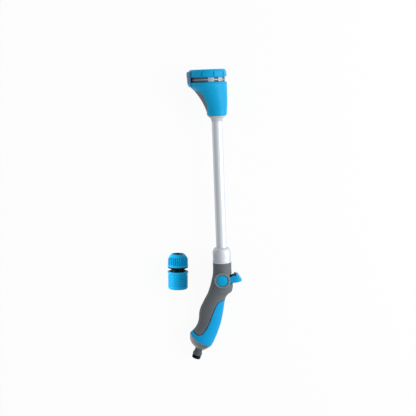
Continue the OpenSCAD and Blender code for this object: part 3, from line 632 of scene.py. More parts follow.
# Height, back, front and half width of the handle
HANDLE = Curve(smooth([
    (-149, -48.6, -33.0, 6.6), (-146.5, -50.0, -28.4, 10.0), (-143, -52.4, -23.7, 13.6),
    (-139, -55.7, -21.0, 16.0), (-134, -58.6, -18.2, 17.4), (-128, -60.0, -15.3, 17.9),
    (-120, -59.0, -11.7, 17.8), (-115, -54.0, -9.9, 17.3), (-108, -48.0, -7.2, 16.5),
    (-100, -44.3, -4.7, 15.9), (-93, -42.6, -3.0, 15.5), (-83, -41.6, -0.9, 15.4),
    (-74, -38.6, 0.8, 15.6), (-63, -32.9, 2.9, 16.0), (-57, -29.5, 5.4, 16.4),
    (-52, -26.7, 10.0, 16.7), (-49, -25.3, 14.6, 16.9), (-44, -23.4, 16.4, 17.0),
    (-37, -21.0, 17.0, 17.0), (-25, -17.8, 16.2, 16.6), (-18, -16.4, 15.6, 16.2),
    (-10, -15.7, 15.4, 15.7), (0, -15.6, 15.6, 15.6), (2, -15.6, 15.6, 15.6),
], 12))
# Side view of the upper edge of the blue skin, from front to back
GRIP_EDGE = smooth([
    (8, -62.8), (0, -62.6), (-8, -64.8), (-13.9, -73), (-20.4, -88), (-26.9, -103.3),
    (-34, -114.5), (-41.9, -119.3), (-49, -117.4), (-62, -106),
], 12)
# Side view of the lower edge of the boot, from back to front
FOOT_EDGE = Curve(smooth([
    (-63, -114.5), (-57.9, -119.8), (-51, -126), (-44.6, -131.6), (-39, -135.2), (-33.2, -138),
    (-28, -140.4), (-23.4, -143), (-15, -146),
], 12))
# Heights between which the two edges are looked for, and how often the span is halved
GRIP_SPAN = (-140, -50)
FOOT_SPAN = (-149, -95)
HALVINGS = 28
SLOT_HALF = 11.25
SLOT_TOP = -17.2
SLOT_FOOT = -34.9
SHELL_WALL = 2
CAP_WALL = 1.5
CAP_STEP = 0.6
# Places of the screws, and the wells that they sit in
SCREWS = ((9.5, -45.5), (-21.5, -50), (-32, -76), (-40.5, -106))
SCREW_SEAT = 7
WELL_R = 3
WELL_WALL = 1.2
WELL_TOP = 20


def handle_point(angle, z, inset=0.0):
    """Point of the handle's skin; the angle runs from the front over the near side to the back."""
    back, front, half = HANDLE.at(z)
    x = (front + back) / 2 + ((front - back) / 2 - inset) * math.cos(angle)
    return Vector((x, -(half - inset) * math.sin(angle), z))


def meeting_height(angle, line, span):
    """Height at which the handle's skin meets a side view line, at an angle."""
    low, high = span
    for _ in range(HALVINGS):
        middle = (low + high) / 2
        if middle > line(handle_point(angle, middle).x):
            high = middle
        else:
            low = middle
    return (low + high) / 2


def grip_line(shift):
    """The edge of the blue skin, moved square to itself."""
    edge = Curve(shifted(GRIP_EDGE, shift))
    front = GRIP_EDGE[0].x
    back = GRIP_EDGE[-1].x
    return lambda x: edge.at(min(max(x, back), front))[0]


def foot_line(x):
    """The lower edge of the boot."""
    return FOOT_EDGE.at(x)[0]


def handle_half(side, seam):
    """Skin of one grey half, with its part of the lever's slot."""
    edge = grip_line(-seam / 2)
    slot_u = 0.3
    top_v = 0.14
    foot_v = 0.36

    def place(u, v):
        z = SLOT_FOOT
        # The slot's angle and the height hang on each other, so they are found in turns
        for _ in range(5):
            slot_angle = math.asin(SLOT_HALF / HANDLE.at(z)[2])
            angle = side * spread(u, ((0, 0), (slot_u, slot_angle), (1, math.pi)))
            foot = meeting_height(angle, edge, GRIP_SPAN) if v > foot_v else SLOT_FOOT
            z = spread(v, ((0, HANDLE_TOP), (top_v, SLOT_TOP), (foot_v, SLOT_FOOT), (1, foot)))
        return handle_point(angle, z)

    def keep(u, v):
        return u > slot_u or v < top_v or v > foot_v

    return bent_grid(40, 50, place, keep)


def grip_skin(seam):
    """Blue skin of the grip, from its wavy edge to the lower edge of the boot."""
    edge = grip_line(seam / 2)

    def place(u, v):
        angle = (2 * u - 1) * math.pi
        top = meeting_height(angle, edge, GRIP_SPAN)
        foot = meeting_height(angle, foot_line, FOOT_SPAN)
        return handle_point(angle, top + (foot - top) * v)

    return bent_grid(112, 48, place)


def cap_skin(step):
    """Glossy cap in the foot of the boot, closed at its bottom."""
    low = FOOT_SPAN[0]
    overlap = 1.5
    wall_v = 0.8

    def place(u, v):
        angle = (2 * u - 1) * math.pi
        top = meeting_height(angle, foot_line, FOOT_SPAN) + overlap
        if v <= wall_v:
            return handle_point(angle, top + (low - top) * v / wall_v, step)
        rim = handle_point(angle, low, step)
        back, front = HANDLE.at(low)[:2]
        middle = Vector(((back + front) / 2, 0, low))
        return rim.lerp(middle, (v - wall_v) / (1 - wall_v))

    return bent_grid(96, 50, place)


def pivot_ring(hub_half, cap_r):
    """Ring boss round a pivot cap."""
    inner = cap_r + 0.35
    outer = inner + 3
    foot = 11.2
    top = hub_half + 2.5
    return turned(eased([
        (inner, foot), (inner, top, 0.9), (outer, top, 2.2), (outer + 0.2, foot)], 8))


def screw_well(x, z):
    """Wall of a screw's well on the far side, trimmed to the curve of the shell."""
    back, front, half = HANDLE.at(z)
    reach = (front - back) / 2
    offset = (x - (front + back) / 2) / reach
    surface = half * math.sqrt(1 - offset ** 2)
    slope = -half * offset / reach / math.sqrt(1 - offset ** 2)
    floor = SCREW_SEAT - 0.4
    outer = WELL_R + WELL_WALL
    well = turned([
        (1.6, floor), (outer, floor), (outer, WELL_TOP), (WELL_R, WELL_TOP), (WELL_R, SCREW_SEAT)], 32)
    bmesh.ops.bisect_plane(
        well, geom=well.verts[:] + well.edges[:] + well.faces[:], clear_outer=True,
        plane_co=(0, 0, surface - 1), plane_no=Vector((-slope, 0, 1)).normalized())
    return well


def far_side(x, z):
    """Place of a screw, with its local z towards the far side and its local x kept."""
    return wand_place() @ Matrix.Translation((x, 0, z)) @ Matrix.Rotation(-math.pi / 2, 4, "X")


def drill_wells(piece):
    """Cuts the screw wells through the far half."""
    holes = bmesh.new()
    deep = 30
    for x, z in SCREWS:
        bmesh.ops.create_cone(
            holes, cap_ends=True, segments=32, radius1=WELL_R, radius2=WELL_R, depth=deep,
            matrix=far_side(x, z) @ Matrix.Translation((0, 0, SCREW_SEAT + deep / 2)))
    drills = add_object("well_drills", mesh_of("well_drills", holes))
    cut = piece.modifiers.new("Wells", "BOOLEAN")
    cut.object = drills
    cut.solver = "EXACT"
    settle(piece)
    bpy.data.objects.remove(drills)


class SPRAYWAND_OT_handle(Operator):
    """Models the two grey halves of the handle with their pivot rings and screw wells"""
    bl_idname = "spraywand.handle"
    bl_label = "Handle halves"

    def execute(self, context):
        size = millimetres()
        place = wand_place()
        for side, name in ((1, "near"), (-1, "far")):
            half = add_piece(
                f"handle_{name}", handle_half(side, size["seam"]), place, "grey_plastic", "wand",
                f"handle_shell_{name}", wall=SHELL_WALL)
            if side < 0:
                drill_wells(half)
            soften(half, 0.35)
            # The pivot ring takes the paler grey of a painted highlight.
            add_piece(
                f"pivot_ring_{name}", pivot_ring(size["hub_half"], size["cap_d"] / 2), pivot_place(side),
                "grey_plastic", "wand", finish="ring_grey")
        for number, (x, z) in enumerate(SCREWS):
            well = screw_well(x, z)
            add_piece(f"screw_well_{number}", well, far_side(x, z), "grey_plastic", "wand")
        return {"FINISHED"}


class SPRAYWAND_OT_grip(Operator):
    """Models the blue skin of the grip and the glossy end cap"""
    bl_idname = "spraywand.grip"
    bl_label = "Grip skin and end cap"

    def execute(self, context):
        size = millimetres()
        place = wand_place()
        skin = grip_skin(size["seam"])
        add_piece(
            "grip_skin", skin, place, "soft_blue", "wand", "grip_overmould", wall=size["grip_skin"],
            edge=0.5)
        cap = cap_skin(CAP_STEP)
        add_piece("end_cap_skin", cap, place, "dark_gloss", "wand", "end_cap", wall=CAP_WALL)
        return {"FINISHED"}


# Inlet

def nipple_outline(tip):
    """Nipple: stem and latching flange."""
    return eased([
        (4.5, tip - 34), (6.5, tip - 34), (6.5, tip - 18.5, 0.3), (6.6, tip - 12, 0.4),
        (7.8, tip - 11, 0.6), (7.8, tip - 6.2, 0.5), (5.85, tip - 5.95), (4.5, tip - 5.95)])


def tip_outline(tip):
    """Black tip of the nipple, with its seal groove."""
    return eased([
        (4.5, tip - 5.9), (7.1, tip - 5.9), (7.1, tip - 5.4, 0.1), (5.8, tip - 5.3), (5.8, tip - 2.9),
        (7.2, tip - 2.8, 0.3), (7.2, tip - 0.6, 0.5), (6.4, tip, 0.4), (4.5, tip, 0.3)])


def seal_outline(inner, wire, height):
    """Round section of a seal."""
    turns = [2 * math.pi * k / 16 for k in range(16)]
    return [(inner + wire + wire * math.cos(a), height + wire * math.sin(a)) for a in turns]


class SPRAYWAND_OT_inlet(Operator):
    """Models the hose nipple and its seal"""
    bl_idname = "spraywand.inlet"
    bl_label = "Hose nipple"

    def execute(self, context):
        tip = millimetres()["nipple_reach"]
        place = inlet_place()
        nipple = turned(nipple_outline(tip))
        add_piece("nipple_skin", nipple, place, "dark_plastic", "wand", "hose_nipple")
        add_piece("nipple_tip", turned(tip_outline(tip)), place, "black_plastic", "wand")
        seal = turned(seal_outline(inner=5.85, wire=0.85, height=tip - 4.1))
        add_piece("nipple_seal", seal, place, "black_rubber", "wand", "nipple_o_ring")
        return {"FINISHED"}


# Lever and pivot caps

# Side views from the pivot: distance and height of the lever's top and foot and of the block's top
LEVER_TOP = Curve((
    (-7, 4.5), (11.5, 4.5), (12.2, 3.4), (14, 3.8), (18, 4.9), (21.5, 6.1), (24.6, 7), (25.8, 7.2),
    (26.6, 7), (27.3, 6.4), (30.6, 1.7), (32.9, -2.2), (33.4, -3.4)))
LEVER_FOOT = Curve((
    (-7, -4.5), (9.5, -4.5), (10.2, -7.6), (19.5, -5.9), (27, -5.3), (31.6, -4.9), (32.8, -4.5),
    (33.4, -4)))
CORE_START = 14
CORE_END = 24
CORE_TOP = Curve((
    (CORE_START, 2.9), (17, 3.3), (18.6, 3.5), (19.7, 5.8), (21.6, 8.6), (22.6, 8.8), (23.5, 8.2),
    (CORE_END, 6.2)))
LEVER_ROOT = -3
LEVER_CORNER = 10.5
ARM_R = 7
ARM_BORE = 4.05


def lever_half_width(x, reach, half):
    """Half width of the lever at a distance from the pivot, round at its tip."""
    past = max(x - (reach - LEVER_CORNER), 0)
    return half - LEVER_CORNER + math.sqrt(max(LEVER_CORNER ** 2 - past ** 2, 0))


def lever_shape(reach, half, cheek):
    """Paddle with two cheeks, as a closed solid."""
    core_u = 0.55
    inner = half - cheek
    inner_v = 0.2

    def place(u, v):
        if u <= core_u:
            x = spread(u, ((0, LEVER_ROOT), (core_u, CORE_END)))
        else:
            turn = (u - core_u) / (1 - core_u) * math.pi / 2
            x = CORE_END + (reach - CORE_END) * math.sin(turn)
        edge = lever_half_width(x, reach, half)
        core = inner * edge / half
        y = spread(v, ((0, -edge), (inner_v, -core), (1 - inner_v, core), (1, edge)))
        return Vector((x, y, LEVER_TOP.at(x)[0]))

    def keep(u, v):
        return u > core_u or v < inner_v or v > 1 - inner_v

    shape = bent_grid(40, 20, place, keep)
    return with_foot(shape, LEVER_FOOT)


def with_foot(shape, foot):
    """Closes a top skin down to its foot line."""
    raised = bmesh.ops.extrude_face_region(shape, geom=shape.faces[:])["geom"]
    for vert in raised:
        if isinstance(vert, bmesh.types.BMVert):
            vert.co.z = foot.at(vert.co.x)[0]
    return tidy(shape)


def core_shape(half):
    """Black block between the cheeks, which rises to a ridge at the paddle."""
    def place(u, v):
        x = CORE_START + (CORE_END - FIT - CORE_START) * u
        return Vector((x, half * (2 * v - 1), CORE_TOP.at(x)[0]))

    return with_foot(bent_grid(12, 6, place), LEVER_FOOT)


def core_shield():
    """Black curved wall that closes the slot above and below the lever."""
    inner = 15.5
    outer = 16.9
    half = 6
    outline = ((inner, -half), (outer, -half), (outer, half), (inner, half))
    return tidy(swept(bmesh.new(), outline, start=-46, sweep=81, steps=36))


def pivot_cap(radius, foot, top):
    """Cap with a thin straight rim and an even dome."""
    rim = foot + 1.3
    hole = 0.01
    shares = [1 - k / 14 for k in range(1, 15)]
    dome = [(radius * share + hole, rim + (top - rim) * (1 - share ** 2)) for share in shares]
    return turned(eased([(hole, foot), (radius, foot), (radius, rim - 0.1, 0.5)]) + dome)


class SPRAYWAND_OT_lever(Operator):
    """Models the thumb lever, its black core and the pivot caps"""
    bl_idname = "spraywand.lever"
    bl_label = "Thumb lever"

    def execute(self, context):
        size = millimetres()
        half = size["lever_w"] / 2
        inner = half - size["arm_t"]
        hub = size["hub_half"]
        place = wand_place() @ Matrix.Translation(HUB)
        paddle = lever_shape(size["lever_reach"], half, size["arm_t"])
        add_piece("lever_paddle", paddle, place, "blue_plastic", "lever", "thumb_lever", edge=0.6)
        core = core_shape(inner - FIT)
        add_piece("lever_block", core, place, "black_plastic", "lever", "lever_core", edge=0.3)
        add_piece("lever_shield", core_shield(), pivot_place(1), "black_plastic", "lever", edge=0.3)
        for side, name in ((1, "near"), (-1, "far")):
            place = pivot_place(side)
            cap = pivot_cap(size["cap_d"] / 2, hub + FIT, hub + size["cap_h"])
            add_piece(f"pivot_dome_{name}", cap, place, "blue_plastic", "lever", f"pivot_cap_{name}")
            arm = turned(eased([
                (ARM_BORE, inner), (ARM_R, inner, 0.3), (ARM_R, half, 0.3), (ARM_BORE, half)]), 48)
            add_piece(f"lever_arm_{name}", arm, place, "blue_plastic", "lever")
        return {"FINISHED"}


# Head

# Height above the ferrule, back and front of the head
HEAD = Curve(smooth([
    (0, -14.6, 15), (0.9, -16, 16.4), (7, -16.9, 17), (13.5, -19.2, 17.6), (20.5, -22.2, 18),
    (27.5, -26.1, 18.2), (34, -30.3, 18.3), (40.5, -35.1, 18.4), (44.5, -39, 18.4),
    (48.5, -42.4, 18.3), (53.4, -44.7, 18.3), (54.5, -44.1, 17.7),
], 12))
PAD_LOW = 8.2
PAD_HIGH = 41.2
# Edge of the thumb pad: height and distance from the tube axis
PAD_EDGE = Curve(smooth([
    (PAD_LOW, -16.3), (13.3, -15.3), (20.6, -16.5), (27.9, -19), (34.6, -22.3), (39.1, -27.9),
    (PAD_HIGH, -34.9),
], 12))
HEAD_WALL = 2.2
PAD_WALL = 1.2


def head_point(angle, height, foot, inset=0.0):
    """Point of the head's skin; the angle runs from the front over the near side to the back."""
    back, front = HEAD.at(height)
    reach = (front - back) / 2 - inset
    x = (front + back) / 2 + reach * math.cos(angle)
    return Vector((x, -reach * math.sin(angle), foot + height))


def pad_angle(height):
    """Angle at which the thumb pad starts, at a height."""
    height = min(max(height, PAD_LOW), PAD_HIGH)
    back, front = HEAD.at(height)
    offset = PAD_EDGE.at(height)[0] - (front + back) / 2
    furthest = -0.995
    return math.acos(max(offset / ((front - back) / 2), furthest))


def lip_depth(height, top):
    """Depth of the fine groove under the shell's rim."""
    deep = 0.28
    below = 2.6
    wide = 0.3
    return deep * math.exp(-((height - top + below) / wide) ** 2)


def head_shell(foot, top):
    """Skewed bell, open where the thumb pad lies."""
    pad_u = 0.16
    low_v = 0.16
    high_v = 0.7
    rim_v = 0.88

    def place(u, v):
        height = spread(v, (
            (0, 0), (0.03, 0.9), (low_v, PAD_LOW), (high_v, PAD_HIGH), (rim_v, top - 3.4),
            (0.97, top - 1.1), (1, top)))
        edge = pad_angle(height)
        angle = spread(u, ((0, -math.pi), (pad_u, -edge), (1 - pad_u, edge), (1, math.pi)))
        return head_point(angle, height, foot, lip_depth(height, top))

    def keep(u, v):
        return pad_u < u < 1 - pad_u or v < low_v or v > high_v

    return bent_grid(100, 100, place, keep)


def thumb_pad(foot):
    """Grey pad in the hollow of the shell's back, set in by a hair."""
    gap = 0.3
    inset = 0.15

    def place(u, v):
        height = PAD_LOW + gap + (PAD_HIGH - PAD_LOW - 2 * gap) * v
        back, front = HEAD.at(height)
        edge = pad_angle(height) + 2 * gap / (front - back)
        return head_point(edge + (2 * math.pi - 2 * edge) * u, height, foot, inset)

    return bent_grid(36, 48, place)


TAB_SWEEP = 62


def round_back(outline):
    """An outline swept round the back of the rim, as far as the tab goes."""
    return tidy(swept(bmesh.new(), outline, start=180 - TAB_SWEEP / 2, sweep=TAB_SWEEP, steps=24))


def rim_lip(ring_r, band_z):
    """Blue lip on the back of the shell's rim, which carries the tab."""
    return round_back([
        (ring_r - 2.1, band_z - 7.2), (ring_r - 1.2, band_z - 7.2), (ring_r + 0.9, band_z - 4.2),
        (ring_r + 1.8, band_z - 1), (ring_r + 1.85, band_z - 0.3), (ring_r + 0.2, band_z - 0.3),
        (ring_r + 0.15, band_z - 1)])


def index_tab(ring_r, band_z, ring_z):
    """Tab on the back of the rim, which stands up beside the ring."""
    return round_back([
        (ring_r + 0.35, band_z - 0.25), (ring_r + 1.85, band_z - 0.25), (ring_r + 1.9, band_z + 5),
        (ring_r + 2.6, ring_z + 4), (ring_r + 2.2, ring_z + 8.3), (ring_r + 0.8, ring_z + 9.8),
        (ring_r + 0.35, ring_z + 9.5)])


class SPRAYWAND_OT_head(Operator):
    """Models the head's blue shell, its thumb pad and its index tab"""
    bl_idname = "spraywand.head"
    bl_label = "Head shell"

    def execute(self, context):
        size = millimetres()
        foot = size["head_z"]
        place = wand_place()
        bell = head_shell(foot, size["shell_h"])
        add_piece(
            "head_bell", bell, place, "blue_plastic", "wand", "head_shell", wall=HEAD_WALL, edge=0.3)
        pad = thumb_pad(foot)
        add_piece(
            "thumb_pad", pad, place, "grey_plastic", "wand", "head_insert", wall=PAD_WALL, edge=0.4)
        ring_r = size["ring_d"] / 2
        band_z = foot + size["shell_h"]
        place = ring_place(size["ring_offset"])
        tab = index_tab(ring_r, band_z, ring_heights(size)[0])
        # The tab takes the blue grey of its painted sheen and shade.
        add_piece(
            "rim_tab", tab, place, "grey_plastic", "wand", "index_tab", finish="tab_grey", edge=0.5)
        add_piece("rim_lip", rim_lip(ring_r, band_z), place, "blue_plastic", "wand", edge=0.4)
        return {"FINISHED"}


# Selector ring, band and spray face

BAND_GAP = 0.3


def ring_heights(size):
    """Foot and top of the selector ring."""
    foot = size["head_z"] + size["shell_h"] + BAND_GAP + size["band_h"]
    return foot, foot + size["ring_h"]


def notched(shape, ring_r, inner, notch_r, count):
    """Presses round notches into the outside of a ring."""
    centre = ring_r - 0.4 * notch_r
    pitch = 2 * math.pi / count
    for vert in shape.verts:
        radius = vert.co.xy.length
        if radius < inner:
            continue
        angle = math.atan2(vert.co.y, vert.co.x) + math.pi / 2
        off = ((angle / pitch) % 1 - 0.5) * pitch
        across = centre * math.sin(off)
        if abs(across) < notch_r:
            limit = centre * math.cos(off) - math.sqrt(notch_r ** 2 - across ** 2)
            if limit < radius:
                vert.co.xy *= limit / radius
    return shape


def selector_ring(size):
    """Notched ring, rounded towards the spray face."""
    foot, top = ring_heights(size)
    ring_r = size["ring_d"] / 2
    face_r = ring_r - size["ring_wall"]
    lip = 1.4
    outline = (
        eased([(face_r + FIT, foot), (ring_r - 1.2, foot, 0.3), (ring_r, foot + 1.3, 0.6)])
        + [(ring_r, foot + 3), (ring_r - 0.1, foot + 4.6)]
        + quarter(face_r + lip, top - 6.4, ring_r - face_r - lip - 0.4, 6.4, 12)
        + eased([(face_r + 0.3, top, 0.25), (face_r + FIT, top - 0.6)]))
    ring = turned(outline, 480)
    return notched(ring, ring_r, face_r + 3, size["notch_r"], size["notches"])


def band_heights(size):
    """Foot and top of the band between the shell and the ring."""
    foot = size["head_z"] + size["shell_h"] + BAND_GAP
    return foot, foot + size["band_h"] - 0.1


def band_outline(size):
    """Dark channel of the band."""
    foot, top = band_heights(size)
    radius = size["ring_d"] / 2 - size["band_step"] - 1
    inner = size["ring_d"] / 2 - size["ring_wall"] + FIT
    return [(inner, foot), (radius, foot), (radius, top), (inner, top)]


def band_rib(size):
    """Silver rib round the middle of the channel."""
    foot, top = band_heights(size)
    low = (foot + top) / 2 - 0.9
    high = (foot + top) / 2 + 0.9
    radius = size["ring_d"] / 2 - size["band_step"] - 0.55
    return eased([(radius - 1, low), (radius, low, 0.25), (radius, high, 0.25), (radius - 1, high)])


def band_pads(size):
    """Silver pads on the rib, over half of its round."""
    foot, top = band_heights(size)
    low = foot + 0.4
    high = top - 0.3
    outer = size["ring_d"] / 2 - size["band_step"]
    inner = outer - 1.5
    outline = ((inner, low), (outer, low), (outer, high), (inner, high))
    sweep = 21
    first = -79 - sweep / 2
    pads = bmesh.new()
    for k in range(size["notches"] // 2):
        swept(pads, outline, first + 360 * k / size["notches"], sweep, steps=8)
    return tidy(pads)


class SPRAYWAND_OT_selector(Operator):
    """Models the notched selector ring and the silver band"""
    bl_idname = "spraywand.selector"
    bl_label = "Selector ring"

    def execute(self, context):
        size = millimetres()
        place = ring_place(size["ring_offset"])
        ring = selector_ring(size)
        add_piece("ring_notched", ring, place, "blue_plastic", "selector", "selector_ring")
        channel = turned(band_outline(size), 128)
        add_piece("band_channel", channel, place, "dark_plastic", "selector", "indicator_band")
        rib = turned(band_rib(size), 128)
        add_piece("band_rib", rib, place, "silver_metal", "selector", finish="band_silver")
        pads = band_pads(size)
        pads = add_piece("band_pads", pads, place, "silver_metal", "selector", finish="band_silver")
        soften(pads, 0.25, 2)
        return {"FINISHED"}


# Depth of the face below the ring's top, its thickness and the radius of the post in its middle
FACE_SUNK = 5.3
FACE_THICK = 4.5
POST_R = 5
# Distance of each row of nozzles from the face's edge, and their number
NOZZLE_ROWS = ((3.8, 24), (9, 16), (14.2, 10))


def face_outline(face_r, foot, top, post_r):
    """Spray face: shallow dish with stepped rings between the rows of nozzles."""
    return eased([
        (post_r + 0.1, foot), (face_r, foot), (face_r, top, 0.4), (face_r - 1.2, top, 0.2),
        (face_r - 1.4, top - 0.8, 0.2), (face_r - 1.8, top - 0.8, 0.2), (face_r - 2.0, top, 0.2),
        (face_r - 6.2, top, 0.2), (face_r - 6.5, top - 0.3, 0.2), (face_r - 11.4, top - 0.3, 0.2),
        (face_r - 11.7, top - 0.6, 0.2), (post_r + 3, top - 0.6, 0.2), (post_r + 0.1, top - 0.2)])


def nozzle_row(shape, radius, count, foot, top):
    """Adds a ring of soft nozzles: a collar, a tapered tip and its hole."""
    bore = 0.55
    end = top + 1.9
    tip = eased([
        (bore, foot), (1.45, foot), (1.45, top + 0.2, 0.15), (1.25, top + 0.3, 0.1), (0.95, end, 0.25),
        (bore, end, 0.1)], 2)
    nozzle = mesh_of("nozzle", turned(tip, 12))
    pitch = 2 * math.pi / count
    nozzle.transform(Matrix.Rotation(pitch / 2, 4, "Z") @ Matrix.Translation((radius, 0, 0)))
    for _ in range(count):
        shape.from_mesh(nozzle)
        nozzle.transform(Matrix.Rotation(pitch, 4, "Z"))
    bpy.data.meshes.remove(nozzle)


class SPRAYWAND_OT_spray_face(Operator):
    """Models the spray face and its soft nozzles"""
    bl_idname = "spraywand.spray_face"
    bl_label = "Spray face"

    def execute(self, context):
        size = millimetres()
        top = ring_heights(size)[1] - FACE_SUNK
        foot = top - FACE_THICK
        face_r = size["ring_d"] / 2 - size["ring_wall"]
        place = ring_place(size["ring_offset"])
        face = turned(face_outline(face_r, foot, top, POST_R))
        add_piece("face_plate", face, place, "dark_plastic", "selector", "spray_face")
        tips = bmesh.new()
        for inset, count in NOZZLE_ROWS:
            nozzle_row(tips, face_r - inset, count, foot + 0.1, top)
        add_piece("face_nozzles", tidy(tips), place, "soft_blue", "selector", "nozzle_tips")
        return {"FINISHED"}


# Connector

# Foot and top of the collar's inner step, which the spring sits on
STEP_FOOT = 12.6
STEP_TOP = 15
# The body's stop flange below the collar's top, and the spring's gap at both ends
STOP_BELOW = 3.5
SPRING_GAP = 0.1
WAIST_H = 6
FLANGE_H = 2
SLIDE_R = 12.55
THREAD_R = 12.9
HOSE_R = 9.3
STEM_BORE = 4.5


def collar_ridges(radius, length, count):
    """Outline of the ridges up the side of the connector's collar."""
    first = 4
    pitch = (length - 5 - first) / count
    valley = radius - 1.2
    points = []
    for k in range(count):
        foot = first + pitch * k
        points += [(radius, foot, 0.3), (radius, foot + 1.6, 0.3), (valley, foot + 2, 0.2),
                   (valley, foot + 2.8, 0.2)]
    return points


def collar_sleeve(size):
    """Sliding collar: lip at the mouth, ridges and a flared rim."""
    radius = size["sleeve_d"] / 2
    top = size["sleeve_len"]
    bore = radius - 1.9
    lip = 3
    rim = radius + 0.9
    return turned(eased(
        [(SLIDE_R, 0, 0.2), (radius - 1.4, 0, 0.5), (radius - 0.3, 1.4, 0.8), (radius, lip, 0.4)]
        + collar_ridges(radius, top, count=7)
        + [(radius, top - 4, 0.8), (rim, top - 2, 0.8), (rim, top - 0.4, 0.5), (rim - 0.7, top, 0.3),
           (bore + 0.4, top, 0.2), (bore, top - 0.4, 0.2), (bore, STEP_TOP), (SLIDE_R, STEP_TOP),
           (SLIDE_R, STEP_FOOT), (bore, STEP_FOOT), (bore, lip), (SLIDE_R, lip)]), 128)


def nut_dome(outer, inner, top):
    """Curve of the nut's shoulder, from its side to the rim of the hose entry."""
    start = Vector((outer, top - 8.8))
    corner = Vector((outer - 2.6, top - 2.4))
    end = Vector((inner, top))
    shares = [k / 14 for k in range(15)]
    return [start.lerp(corner, t).lerp(corner.lerp(end, t), t) for t in shares]


def nut_shape(size, foot):
    """Cap nut: foot band, grooved side and a dome round the hose entry."""
    radius = size["nut_d"] / 2
    top = foot + size["nut_h"]
    side_low = foot + 3
    side_high = top - 9
    groove_low = foot + 3.4
    groove_high = top - 5
    groove_r = 1.25
    groove_depth = 2
    groove_ends = 0.8
    side = [(radius - 0.5, side_low + (side_high - side_low) * k / 24) for k in range(25)]
    shape = turned(
        eased([(THREAD_R, foot), (radius - 0.3, foot, 0.2), (radius, foot + 0.5, 0.3),
               (radius, foot + 2.2, 0.4), (radius - 0.5, foot + 2.8, 0.2)])
        + side + nut_dome(radius - 0.7, HOSE_R + 1.2, top)
        + eased([(HOSE_R + 0.4, top, 0.3), (HOSE_R, top - 0.4, 0.2), (HOSE_R, top - 4),
                 (HOSE_R + 1.8, top - 4), (THREAD_R, foot + 9.5)]), size["nut_grooves"] * 12)
    pitch = 2 * math.pi / size["nut_grooves"]
    for vert in shape.verts:
        reach = vert.co.xy.length
        height = vert.co.z
        if reach < HOSE_R + 3 or not groove_low < height < groove_high:
            continue
        angle = math.atan2(vert.co.y, vert.co.x)
        off = ((angle / pitch + 0.5) % 1 - 0.5) * pitch
        across = reach * math.sin(off) / groove_r
        ease = min((height - groove_low) / groove_ends, (groove_high - height) / groove_ends, 1)
        if abs(across) < 1:
            vert.co.xy *= 1 - groove_depth * ease * math.sqrt(1 - across ** 2) / reach
    return shape


def connector_core(size, flange, nut_foot):
    """Black body: socket, stop flange, waist, nut flange, thread and hose stem."""
    radius = size["nut_d"] / 2
    stop = size["sleeve_len"] - STOP_BELOW
    socket_end = 16
    socket_r = 8.1
    body_r = 12.2
    stop_r = 14.15
    waist_r = 11.7
    flange_r = radius - 0.3
    flange_top = nut_foot - 0.1
    thread_r = THREAD_R - 0.3
    thread = nut_foot + 9
    barb_r = 6.4
    stem_top = nut_foot + size["nut_h"] + 0.5
    return turned(eased([
        (STEM_BORE, socket_end), (socket_r, socket_end), (socket_r, MOUTH_LIP, 0.4),
        (body_r, MOUTH_LIP, 0.3), (body_r, stop), (stop_r, stop, 0.2), (stop_r, stop + 2, 0.4),
        (waist_r, stop + 3, 0.4), (waist_r, flange, 0.3), (flange_r, flange, 0.4),
        (flange_r, flange_top, 0.3), (thread_r, flange_top), (thread_r, thread), (barb_r, thread),
        (barb_r, thread + 2), (5.8, thread + 4), (barb_r, thread + 4), (5.6, stem_top, 0.2),
        (STEM_BORE, stem_top)]))


def coil(radius, wire, foot, top, turns):
    """Coil spring of round wire."""
    steps = turns * 32
    shape = bmesh.new()
    start = Matrix.Translation((radius, 0, foot + wire)) @ Matrix.Rotation(math.pi / 2, 4, "X")
    bmesh.ops.create_circle(shape, cap_ends=True, segments=10, radius=wire, matrix=start)
    bmesh.ops.spin(
        shape, geom=shape.verts[:] + shape.edges[:] + shape.faces[:], cent=(0, 0, 0), axis=(0, 0, 1),
        dvec=(0, 0, (top - foot - 2 * wire) / steps), angle=2 * math.pi * turns, steps=steps)
    return tidy(shape)


class SPRAYWAND_OT_connector(Operator):
    """Models the loose hose connector: its body, sliding collar and cap nut"""
    bl_idname = "spraywand.connector"
    bl_label = "Hose connector"

    def execute(self, context):
        size = millimetres()
        place = connector_place()
        flange = size["sleeve_len"] + WAIST_H
        nut_foot = flange + FLANGE_H
        core = connector_core(size, flange, nut_foot)
        add_piece("connector_core", core, place, "black_plastic", "connector", "connector_body")
        sleeve = collar_sleeve(size)
        add_piece("collar_sleeve", sleeve, place, "blue_plastic", "collar", "connector_collar")
        nut = nut_shape(size, nut_foot)
        add_piece("cap_nut", nut, place, "blue_plastic", "nut", "connector_nut")
        seat = STEP_TOP + SPRING_GAP
        stop = size["sleeve_len"] - STOP_BELOW - SPRING_GAP
        spring = coil(radius=13.5, wire=0.6, foot=seat, top=stop, turns=5)
        slot = SLOTS["collar_spring"]
        spring = add_piece("collar_coil", spring, place, slot, "connector", "collar_spring")
        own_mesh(spring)
        rim = nut_foot + size["nut_h"]
        root = rim - 7
        inner = 7.4
        outer = HOSE_R - 0.1
        fingers = turned(eased([
            (inner, root), (outer, root), (outer, rim - 0.5, 0.2), (inner, rim - 1.2, 0.2)]))
        add_piece("gripper_fingers", fingers, place, "black_plastic", "gripper")
        return {"FINISHED"}


class SPRAYWAND_OT_inner_parts(Operator):
    """Gives the pieces that are carried over from the frame their finishes"""
    bl_idname = "spraywand.inner_parts"
    bl_label = "Inner parts"

    def execute(self, context):
        for name, node in frame["nodes"].items():
            node.data.materials.clear()
            node.data.materials.append(finish_of(SLOTS[name]))
        return {"FINISHED"}


# Stage

FLOOR_COLOUR = (0.92, 0.92, 0.92, 1)
FLOOR_GLOW = 0.93
FLOOR_HALF = 6
FLOOR_Z = -0.0005
ROOM_LEVEL = 0.57
